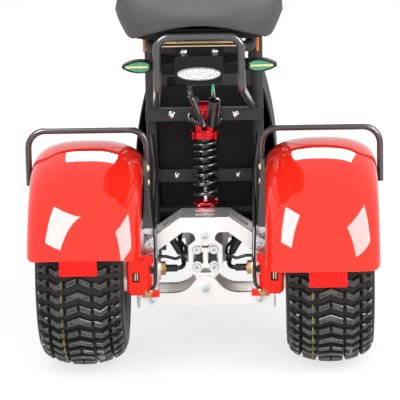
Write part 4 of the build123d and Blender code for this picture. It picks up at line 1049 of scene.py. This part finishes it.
@dataclass
class Shock:
    """Coil-over shock from its lower to its upper eye, in the place of the CAD shock."""

    low: np.ndarray = field(default_factory=lambda: at(0, 62, 108))
    top: np.ndarray = field(default_factory=lambda: at(0, 72, 348))
    cup_end: float = 28.0
    collar: float = 170.2
    collar_h: float = 16.0
    pots_off: float = 12.5
    turns: float = 7.3
    spring_r: float = 25.0
    wire_r: float = 4.1

    def build(self) -> None:
        """Red fittings, silver rod, black damper and a spring wound closer towards its top."""
        way = self.top - self.low
        length = float(np.linalg.norm(way)) * 1000
        c = self.collar

        def turned(*profile: tuple[float, float]) -> Mesh:
            """Turned shape along the shock from its lower eye."""
            return lathe(list(profile), self.low, tuple(way), 48)

        cup = turned(
            (0, 14), (12, 14), (15, 16), (18, 20), (21, 25), (24, 29),
            (27, 29.2), (self.cup_end, 28.6), (27.6, 27.4), (24, 22), (23, 9),
        )
        neck = turned((c + 40, 12.5), (c + 42, 10.5), (length, 10.5))
        eyes = [
            lathe([(-h, 11.2), (1 - h, 12), (h - 1, 12), (h, 11.2)], eye, RIGHT)
            for eye, h in ((self.low, 14.5), (self.top, 11.5))
        ]
        fittings = join(cup, neck, *eyes, self._collar(way), self._lobes(way))
        new_piece("shock_fittings", fittings, SHOCK_RED, FRAME, ("shock_body",))
        rod = turned((self.cup_end, 7), (82, 7))
        pins = [
            lathe([(-h, 4.2), (0.8 - h, 5), (h - 0.8, 5), (h, 4.2)], eye, RIGHT, 24)
            for eye, h in ((self.low, 20), (self.top, 18))
        ]
        new_piece("shock_rod", join(rod, *pins), ZINC)
        damper = turned((60, 15), (61, 17), (75, 17), (76, 16.4), (78, 16.4), (79, 17), (c, 17))
        new_piece("shock_damper", damper, HOSE)
        new_piece("shock_coil", self._spring(way), COIL, FRAME, ("shock_spring",))

    def _axes(self, way: np.ndarray) -> tuple[np.ndarray, np.ndarray, np.ndarray]:
        """Directions across and along the shock.

        Args:
            way: From the lower to the upper eye.

        Returns:
            Right, forward and along.
        """
        along = way / np.linalg.norm(way)
        right = np.array(RIGHT)
        return right, np.cross(along, right), along

    def _stack(self, way: np.ndarray, outline: np.ndarray, levels: list[tuple[float, float]]) -> Mesh:
        """Insets of an outline across the shock, stacked along it.

        Args:
            way: From the lower to the upper eye.
            outline: Corners (right, forward) in millimetres, counter-clockwise.
            levels: Rows of (distance along, inset).

        Returns:
            Points and faces.
        """
        right, ahead, along = self._axes(way)
        height, amount = np.array(levels, float).T
        flat = inset(outline, amount)[:, ::-1] / 1000
        points = flat[..., :1] * right + flat[..., 1:] * ahead + height[:, None, None] / 1000 * along
        return rings(self.low + points)

    def _collar(self, way: np.ndarray) -> Mesh:
        """Adjuster ring with eight notches: r = 31 - 4 n, n = (cos 8t - 0.45) / 0.2 kept within 0 and 1.

        Args:
            way: From the lower to the upper eye.

        Returns:
            Points and faces.
        """
        t = np.linspace(0, 2 * np.pi, 128, endpoint=False)
        r = 31 - 4 * np.clip((np.cos(8 * t) - 0.45) / 0.2, 0, 1)
        outline = np.stack([r * np.cos(t), r * np.sin(t)], 1)
        levels = [(0, 0.9), (0.9, 0), (7, 0), (7.6, 1.2), (8.6, 1.2), (9.2, 0)]
        levels += [(self.collar_h - 1, 0), (self.collar_h, 1)]
        return self._stack(way, outline, [(self.collar + rise, cut) for rise, cut in levels])

    def _lobes(self, way: np.ndarray) -> Mesh:
        """Two reservoirs side by side on a low base, each a round-topped cylinder.

        Args:
            way: From the lower to the upper eye.

        Returns:
            Points and faces.
        """
        c = self.collar + self.collar_h
        dome = [(-1, 8.6), (6, 8.6), (6.6, 7.8), (8.4, 7.8), (9, 8.6), (20, 8.6), (23, 7), (24.5, 3.6)]
        dome = [(c + rise, r) for rise, r in dome]
        apart = self.pots_off / 1000 * np.array(RIGHT)
        pots = [lathe(dome, self.low + side * apart, tuple(way), 32) for side in (-1, 1)]
        base = lathe([(c - 1, 21), (c + 2, 21), (c + 3, 19), (c + 3.5, 8)], self.low, tuple(way), 40)
        return join(base, *pots)

    def _spring(self, way: np.ndarray) -> Mesh:
        """Wire along a helix whose pitch falls towards the top: w = L (1.28 u - 0.28 u^2).

        Args:
            way: From the lower to the upper eye.

        Returns:
            Points and faces.
        """
        right, ahead, along = self._axes(way)
        u = np.linspace(0, 1, int(self.turns * 40))[:, None]
        f = 2 * np.pi * self.turns * u
        start = self.cup_end + self.wire_r
        w = start + (self.collar - start - self.wire_r) * (1.28 * u - 0.28 * u * u)
        path = self.low + (self.spring_r * (np.cos(f) * right + np.sin(f) * ahead) + w * along) / 1000
        return tube(path, self.wire_r / 1000, 12)


@dataclass
class Fasteners:
    """Small bolts and washers that the CAD leaves to the look, in millimetres from the rear axle."""

    pivots: Outline = ((0, 87), (-118, 64), (118, 64), (0, -33), (-118, -56), (118, -56))
    pivot_y: float = -71.0
    block: Outline = ((-19, 54), (19, 54), (-19, 15), (19, 15))
    block_y: float = -55.7
    plain: tuple[tuple[float, float, float, float], ...] = (
        (-72, 92, 326, 6.5), (68, 92, 326, 6.5), (-66, 128, 180, 5.5), (72, 128, 180, 5.5),
        (-33, -203, 518, 5.8), (33, -203, 518, 5.8),
    )
    wall: tuple[Point, ...] = ((125, -23, 232), (125, -23, 200), (-125, -23, 232), (-125, -23, 200))
    strips: Outline = ((-181.5, 536.2), (-204.5, 531.8))
    strip_half: float = 82.0
    pocket: Box = (-8.0, 8.0, -10.0, 10.0)
    pocket_at: tuple[float, float] = (15.0, 34.5)
    pocket_y: tuple[float, float] = (-34.0, -30.0)
    slope: Outline = ((58, 96), (97, 84), (97, 87), (58, 112))
    slope_y: tuple[float, float] = (-30.0, 3.0)

    def build(self) -> None:
        """Hex heads over the pivot bolts, sockets in the block bolts, flange bolts on the frame; the socket
        bottoms and the round centres of the pivot heads are darker metal as painted shade.
        """
        pivots = [at(x, self.pivot_y, z) for x, z in self.pivots]
        blocks = [at(x, self.block_y, z) for x, z in self.block]
        hexes = [lathe([(-6.5, 7.4), (1.2, 7.4), (2.4, 6.2)], place, BACK, 6) for place in pivots]
        new_piece("pivot_heads", join(*hexes), ZINC, sharp=20)
        crown = [(0, 9.4), (1.6, 8.4), (1.9, 7.4), (1.9, 5.2), (0.4, 4.8)]
        new_piece("block_heads", join(*(lathe(crown, place, BACK, 32) for place in blocks)), ZINC)
        # Darker metal discs in the sockets and on the pivot heads: painted shade of the socket holes.
        shade_pits = [lathe([(-1, 4.6), (0.5, 4.6)], place, BACK, 6) for place in blocks]
        shade_pits += [lathe([(0, 4.0), (2.5, 4.0)], place, BACK, 16) for place in pivots]
        new_piece("bolt_socket_shade", join(*shade_pits), SOCKET_SHADE)
        flange = [(0, 1.25), (1.2, 1.25), (1.8, 1.1), (3.4, 0.95), (5.2, 0.75), (5.6, 0.6)]
        heads = [lathe([(a, r * s) for a, r in flange], at(x, y, z), BACK, 28) for x, y, z, s in self.plain]
        new_piece("frame_bolts", join(*heads), ZINC)
        dome = [(0, 9), (1.5, 9), (2, 7.5), (4.5, 6.5), (6, 4), (6.4, 1)]
        inner = [lathe(dome, at(*place), (-np.sign(place[0]), 0, 0), 28) for place in self.wall]
        new_piece("stay_bolts", join(*inner), GOLD)
        bar = [(-self.strip_half, 1.4), (self.strip_half, 1.4)]
        new_piece("latch_strips", join(*(lathe(bar, at(0, y, z), RIGHT, 12) for y, z in self.strips)), GOLD)
        self._recess_shade()

    def _recess_shade(self) -> None:
        """Dark plates in the block's pockets and under the upper arm's side slots, as painted shade in these
        recesses.
        """
        shade_plates = []
        for side in (-1, 1):
            pocket = oblong(*self.pocket) + np.array([side, 1]) * self.pocket_at
            shade_plates.append(plate(pocket, *self.pocket_y, 0.2))
            shade_plates.append(plate(sided(np.array(self.slope), side), *self.slope_y, 0.2))
        # Black plates in the recesses: painted shade.
        new_piece("recess_painted_shade", join(*shade_plates), CAGE)


@dataclass
class Tail:
    """Boards and strips of the indicators, rim of the lamp's lens and a dark plate behind the lamp as painted
    shade in the gap there.
    """

    leaf: tuple[float, float] = (102.0, 162.0)
    widest: float = 0.32
    z: float = 490.0
    y: float = -212.0
    lens: Point = (0.0, -246.6, 480.0)
    lens_half: tuple[float, float] = (44.6, 12.8)
    rim_r: float = 0.0013
    shade: Box = (-92.0, 92.0, 462.0, 508.0)
    shade_y: tuple[float, float] = (-152.0, -149.0)

    def build(self) -> None:
        """A board and a strip in each indicator's rear face, then the rim and the plate.

        The board's half height falls as 1 - a^2 towards the tip and as 1 - 0.55 b^2 towards the root,
        with a and b the shares of the way from its widest place.
        """
        root, tip = self.leaf
        u = np.linspace(0, 1, 20)
        a = np.clip((u - self.widest) / (1 - self.widest), 0, None)
        b = np.clip((self.widest - u) / self.widest, 0, None)
        upper = np.stack([root + 3 + (tip - root - 8) * u, 1.6 + 8.9 * (1 - a**2 - 0.55 * b**2)], 1)
        board = np.concatenate([upper * (1, -1), upper[::-1]])
        strip = oblong(root + 5, tip - 9, -1.8, 1.8)
        boards, strips = [], []
        for side in (-1, 1):
            boards.append(plate(sided(board, side) + (0, self.z), self.y - 0.6, self.y + 0.5, 0.2))
            strips.append(plate(sided(strip, side) + (0, self.z), self.y - 1.4, self.y - 0.3, 0.2))
        t = np.linspace(0, 2 * np.pi, 97)[:, None]
        wide, tall = self.lens_half
        oval = at(*self.lens) + 0.001 * np.concatenate([wide * np.cos(t), 0 * t, tall * np.sin(t)], 1)
        new_piece("lens_rim", tube(oval, self.rim_r, 8), SOCKET)
        # Dark plate filling the gap behind the lamp under the seat: painted shade.
        new_piece("painted_shade_plate", plate(oblong(*self.shade), *self.shade_y, 0.5), PLASTIC)
        new_piece("indicator_boards", join(*boards), BOARD_WITH_GLINTS)
        new_piece("indicator_strips", join(*strips), STRIP)


@dataclass
class Brakes:
    """Caps, banjos, pads and a black plate in the window of the rear calipers as painted shade; places are
    the right-hand ones.
    """

    middle: tuple[float, float] = (150.0, 9.0)
    window: Box = (-7.6, 7.6, -10.6, 10.6)
    window_y: tuple[float, float] = (-105.0, -94.0)
    pad: Box = (-1.0, 1.0, -8.0, 8.0)
    pad_y: tuple[float, float] = (-109.0, -104.0)
    cap: Point = (116.0, -100.0, 22.0)
    banjo: Point = (126.0, -112.0, -28.0)
    hose_end: Point = (122.0, -117.2, -26.0)
    hose_way: Point = (-0.55, -0.15, 0.8)
    pads: tuple[float, float] = (-1.8, 3.0)

    def build(self) -> None:
        """Black bleed caps, brass banjo bolts, and two pad edges in each window, which a black plate fills as
        painted shade.
        """
        cap = [(-14, 5), (0, 5), (0.5, 7), (7, 7), (9, 5.5), (9.5, 2)]
        bolt = [(-8, 4), (-1, 4), (0, 8.5), (3, 8.5), (3.5, 6.5), (7, 6.5), (8, 5)]
        ferrule = [(0, 5.5), (9, 5.5), (10, 4.5), (16, 4.5)]
        caps, banjos, pads, shade_pits = [], [], [], []
        for side in (-1, 1):
            flip = np.array([side, 1, 1])
            caps.append(lathe(cap, at(*(flip * self.cap)), BACK, 28))
            banjos.append(lathe(bolt, at(*(flip * self.banjo)), BACK, 28))
            banjos.append(lathe(ferrule, at(*(flip * self.hose_end)), tuple(flip * self.hose_way), 6))
            middle = np.array([side, 1]) * self.middle
            # Black plate filling the caliper window: painted shade.
            shade_pits.append(plate(oblong(*self.window) + middle, *self.window_y, 0.1))
            for off in self.pads:
                pads.append(plate(oblong(*self.pad) + middle + (off, 0), *self.pad_y, 0.2))
        new_piece("caliper_caps", join(*caps), RUBBER)
        new_piece("caliper_banjos", join(*banjos), BRASS)
        new_piece("caliper_pads", join(*pads), GOLD)
        new_piece("caliper_window_shade", join(*shade_pits), RUBBER)


@dataclass
class Wiring:
    """Tail wiring along the CAD's routes: a spiral-wrapped cable, and loose wires into a booted lead."""

    wrap: tuple[Point, ...] = (
        (-20, -222, 456.9), (-20, -222, 430), (0, 10, 318), (-34, 50, 324), (-34, 91.9, 324),
    )
    loose: tuple[Point, ...] = ((28, -222, 456.9), (28, -222, 432), (25, 6, 382), (24, 12, 365))
    tail: tuple[Point, ...] = ((18.5, 28.5, 318), (17, 33, 304), (38, 62, 320), (38, 91.9, 320))
    bends: tuple[float, float, float] = (0.016, 0.014, 0.008)
    boot: Point = (25, 10, 370)
    boot_way: Point = (-7, 20, -57)
    core_r: float = 0.0042
    spiral_r: float = 0.0045
    spiral_pitch: float = 0.0085
    strand_r: float = 0.0016
    lead_r: float = 0.003
    wire_r: float = 0.0013
    wire_off: float = 0.0014
    wire_bow: float = 0.0035
    bare: float = 0.42
    overlap: int = 6
    colours: tuple[tuple[str, Colour], ...] = (
        ("red", (0.75, 0.02, 0.02)),
        ("yellow", (0.85, 0.65, 0.05)),
        ("green", (0.02, 0.42, 0.14)),
        ("teal", (0.04, 0.45, 0.42)),
    )

    def build(self) -> None:
        """Cable core with its wrap, four coloured wires, black lead and boot.

        The bare wires bow apart by a half sine, wire i towards (cos(1.6 i + 0.6), 0.4 sin(1.6 i)).
        """
        wrap_bend, loose_bend, tail_bend = self.bends
        path = route([at(*p) for p in self.wrap], wrap_bend)
        spiral = tube(coil(path, self.spiral_r, self.spiral_pitch), self.strand_r, 6)
        new_piece("tail_cable", join(tube(path, self.core_r), spiral), HOSE, FRAME, ("tail_wiring",))
        path = route([at(*p) for p in self.loose], loose_bend)
        cut = int(len(path) * self.bare)
        bundle = tube(path[cut:], self.lead_r)
        ends = [(-7, 9), (-5, 13.2), (-2, 14), (50, 14), (56, 13.2), (60, 11), (61, 6)]
        boot = lathe(ends, at(*self.boot), self.boot_way, 40)
        rest = tube(route([at(*p) for p in self.tail], tail_bend), self.lead_r)
        new_piece("tail_lead", join(bundle, boot, rest), HOSE)
        bare = path[: cut + self.overlap]
        spread = self.wire_off + self.wire_bow * np.sin(np.linspace(0, np.pi, len(bare)))[:, None]
        for i, (name, colour) in enumerate(self.colours):
            off = np.array([math.cos(1.6 * i + 0.6), 0.4 * math.sin(1.6 * i), 0.0])
            wire = tube(bare + spread * off, self.wire_r, 8)
            new_piece(f"wire_{name}", wire, Finish(f"wire_{name}", colour, roughness=0.3))


class Lit(Enum):
    """What a lamp lights."""

    SURFACES = "surfaces"
    REFLECTIONS = "reflections"


@dataclass(frozen=True)
class Lamp:
    """Soft box at an angle round the rear axle: azimuth from straight behind, elevation over the floor."""

    name: str
    lit: Lit
    azimuth: float
    elevation: float
    size: tuple[float, float]
    power: float
    distance: float = 3.0

    def build(self, middle: Vector) -> None:
        """Add the lamp, facing the middle.

        Args:
            middle: What it faces.
        """
        data = bpy.data.lights.new(self.name, "AREA")
        data.shape = "RECTANGLE"
        data.size, data.size_y = self.size
        data.energy = self.power
        way = direction(self.azimuth, self.elevation)
        lamp = bpy.data.objects.new(self.name, data)
        lamp.location = middle + way * self.distance
        lamp.rotation_euler = (-way).to_track_quat("-Z", "Y").to_euler()
        lamp.visible_diffuse = self.lit is Lit.SURFACES
        lamp.visible_glossy = self.lit is Lit.REFLECTIONS
        bpy.context.scene.collection.objects.link(lamp)


@dataclass
class Studio:
    """Camera at the photograph's angle, pale floor and soft light."""

    target: Point = (0.0, REAR_Y - 0.045, 0.234)
    pixel: tuple[float, float] = (205.7, 262.2)
    azimuth: float = 1.65
    elevation: float = 14.5
    roll: float = -1.2
    distance: float = 6.0
    focal_px: float = 2742.0
    frame_px: float = 400.0
    level: float = 0.68
    floor_colour: float = 0.8
    floor_seen: tuple[float, float] = (0.69, 0.43)
    floor_half: float = 30.0
    lamps_face: Point = (0.0, REAR_Y, 0.35)
    lamps: tuple[Lamp, ...] = (
        Lamp("left_box", Lit.REFLECTIONS, -38.0, 43.0, (1.3, 1.7), 150.0),
        Lamp("right_box", Lit.REFLECTIONS, 55.0, 31.0, (2.1, 1.5), 160.0),
        Lamp("back_box", Lit.REFLECTIONS, 175.0, 48.0, (2.0, 1.0), 110.0),
        Lamp("key", Lit.SURFACES, -38.0, 43.0, (1.6, 1.6), 36.0),
        Lamp("fill", Lit.SURFACES, 52.0, 32.0, (1.6, 1.6), 32.0),
        Lamp("low", Lit.SURFACES, 4.0, 9.0, (2.4, 0.8), 40.0),
    )

    def axes(self) -> tuple[Vector, Vector, Vector]:
        """Camera axes from its angles.

        Returns:
            The camera's right, up and backward directions.
        """
        a, r = math.radians(self.azimuth), math.radians(self.roll)
        back = direction(self.azimuth, self.elevation)
        flat = Vector((math.cos(a), math.sin(a), 0.0))
        rise = back.cross(flat)
        right = math.cos(r) * flat + math.sin(r) * rise
        return right, back.cross(right), back

    def build(self) -> None:
        """Place the camera so that the target falls on its pixel, then floor, lamps and world."""
        right, up, back = self.axes()
        target = Vector(self.target)
        eye = target + back * self.distance
        half = self.frame_px / 2
        shift = self.distance / self.focal_px
        aim = target - right * (self.pixel[0] - half) * shift + up * (self.pixel[1] - half) * shift
        ahead = (aim - eye).normalized()
        side = ahead.cross(up).normalized()
        data = bpy.data.cameras.new("camera")
        data.sensor_width = 36.0
        data.lens = self.focal_px / self.frame_px * data.sensor_width
        data.clip_end = 100.0
        camera = bpy.data.objects.new("camera", data)
        turned = Matrix((side, side.cross(ahead), -ahead)).transposed()
        camera.matrix_world = Matrix.Translation(eye) @ turned.to_4x4()
        bpy.context.scene.collection.objects.link(camera)
        bpy.context.scene.camera = camera
        self._floor()
        for lamp in self.lamps:
            lamp.build(Vector(self.lamps_face))
        self._world()
        bpy.context.scene.view_settings.view_transform = "Standard"

    def _seen(self, tree: bpy.types.NodeTree) -> bpy.types.NodeSocket:
        """1 for rays from the camera, mirrors and glass, 0 for rays that light the object.

        Args:
            tree: Node tree to add the nodes to.

        Returns:
            The socket.
        """
        path = tree.nodes.new("ShaderNodeLightPath")
        total = path.outputs["Is Camera Ray"]
        for name in ("Is Glossy Ray", "Is Transmission Ray"):
            most = tree.nodes.new("ShaderNodeMath")
            most.operation = "MAXIMUM"
            tree.links.new(total, most.inputs[0])
            tree.links.new(path.outputs[name], most.inputs[1])
            total = most.outputs[0]
        return total

    def _floor(self) -> None:
        """Large pale floor just under the wheels: white where it is seen, with the object's shadow."""
        mesh = bpy.data.meshes.new("floor")
        far = self.floor_half
        mesh.from_pydata([(-far, -far, 0), (far, -far, 0), (far, far, 0), (-far, far, 0)], [], [(0, 1, 2, 3)])
        floor = bpy.data.objects.new("floor", mesh)
        mat = Finish("pale_floor", (self.floor_colour,) * 3, roughness=0.9, specular=0.0).material()
        tree = mat.node_tree
        shader = tree.nodes["Principled BSDF"]
        shader.inputs["Emission Color"].default_value = (1, 1, 1, 1)
        seen = self._seen(tree)
        glow, tint = self.floor_seen
        shown = (("Base Color", self.floor_colour, tint), ("Emission Strength", 0.0, glow))
        for socket, unseen, value in shown:
            level = tree.nodes.new("ShaderNodeMapRange")
            level.inputs["To Min"].default_value = unseen
            level.inputs["To Max"].default_value = value
            tree.links.new(seen, level.inputs["Value"])
            tree.links.new(level.outputs["Result"], shader.inputs[socket])
        mesh.materials.append(mat)
        bpy.context.scene.collection.objects.link(floor)
        floor.location.z = -0.0005

    def _world(self) -> None:
        """White where the camera, mirrors and glass see it; a plain level of light on the object."""
        world = bpy.data.worlds.new("studio")
        world.use_nodes = True
        tree = world.node_tree
        shader = tree.nodes["Background"]
        shader.inputs["Color"].default_value = (1, 1, 1, 1)
        level = tree.nodes.new("ShaderNodeMapRange")
        level.inputs["To Min"].default_value = self.level
        level.inputs["To Max"].default_value = 1.0
        tree.links.new(self._seen(tree), level.inputs["Value"])
        tree.links.new(level.outputs["Result"], shader.inputs["Strength"])
        bpy.context.scene.world = world


def main() -> None:
    """Dress the frame, add the new pieces and set the studio."""
    logging.basicConfig(level=logging.INFO)
    dress_nodes()
    for side in SIDES:
        rubber = replace(TYRE, name=f"tyre_rubber_{side.name}", stripe=side.paint_line)
        centre = (side.sign * HALF_TRACK, REAR_Y, AXLE_Z)
        Tyre(f"rear_tyre_{side.name}", f"rear_wheel_{side.name}", centre, rubber, turn=REAR_TURN).build()
    block = tuple((x - FRONT_BLOCK_IN, along) for x, along in Tyre.block)
    centre = (0.0, FRONT_Y, AXLE_Z)
    Tyre(
        "front_tyre", "front_wheel", centre, TYRE, width=FRONT_WIDTH, rows=FRONT_ROWS, sides=(), block=block
    ).build()
    for side in SIDES:
        Fender(side.name, side.sign * FENDER_X, side.fender_tilt).build()
    for node, (finish, width) in EDGES.items():
        bevelled(node, finish, width)
    for part in (Seat(), Shock(), Fasteners(), Tail(), Brakes(), Wiring(), Studio()):
        part.build()


if __name__ == "__main__":
    main()
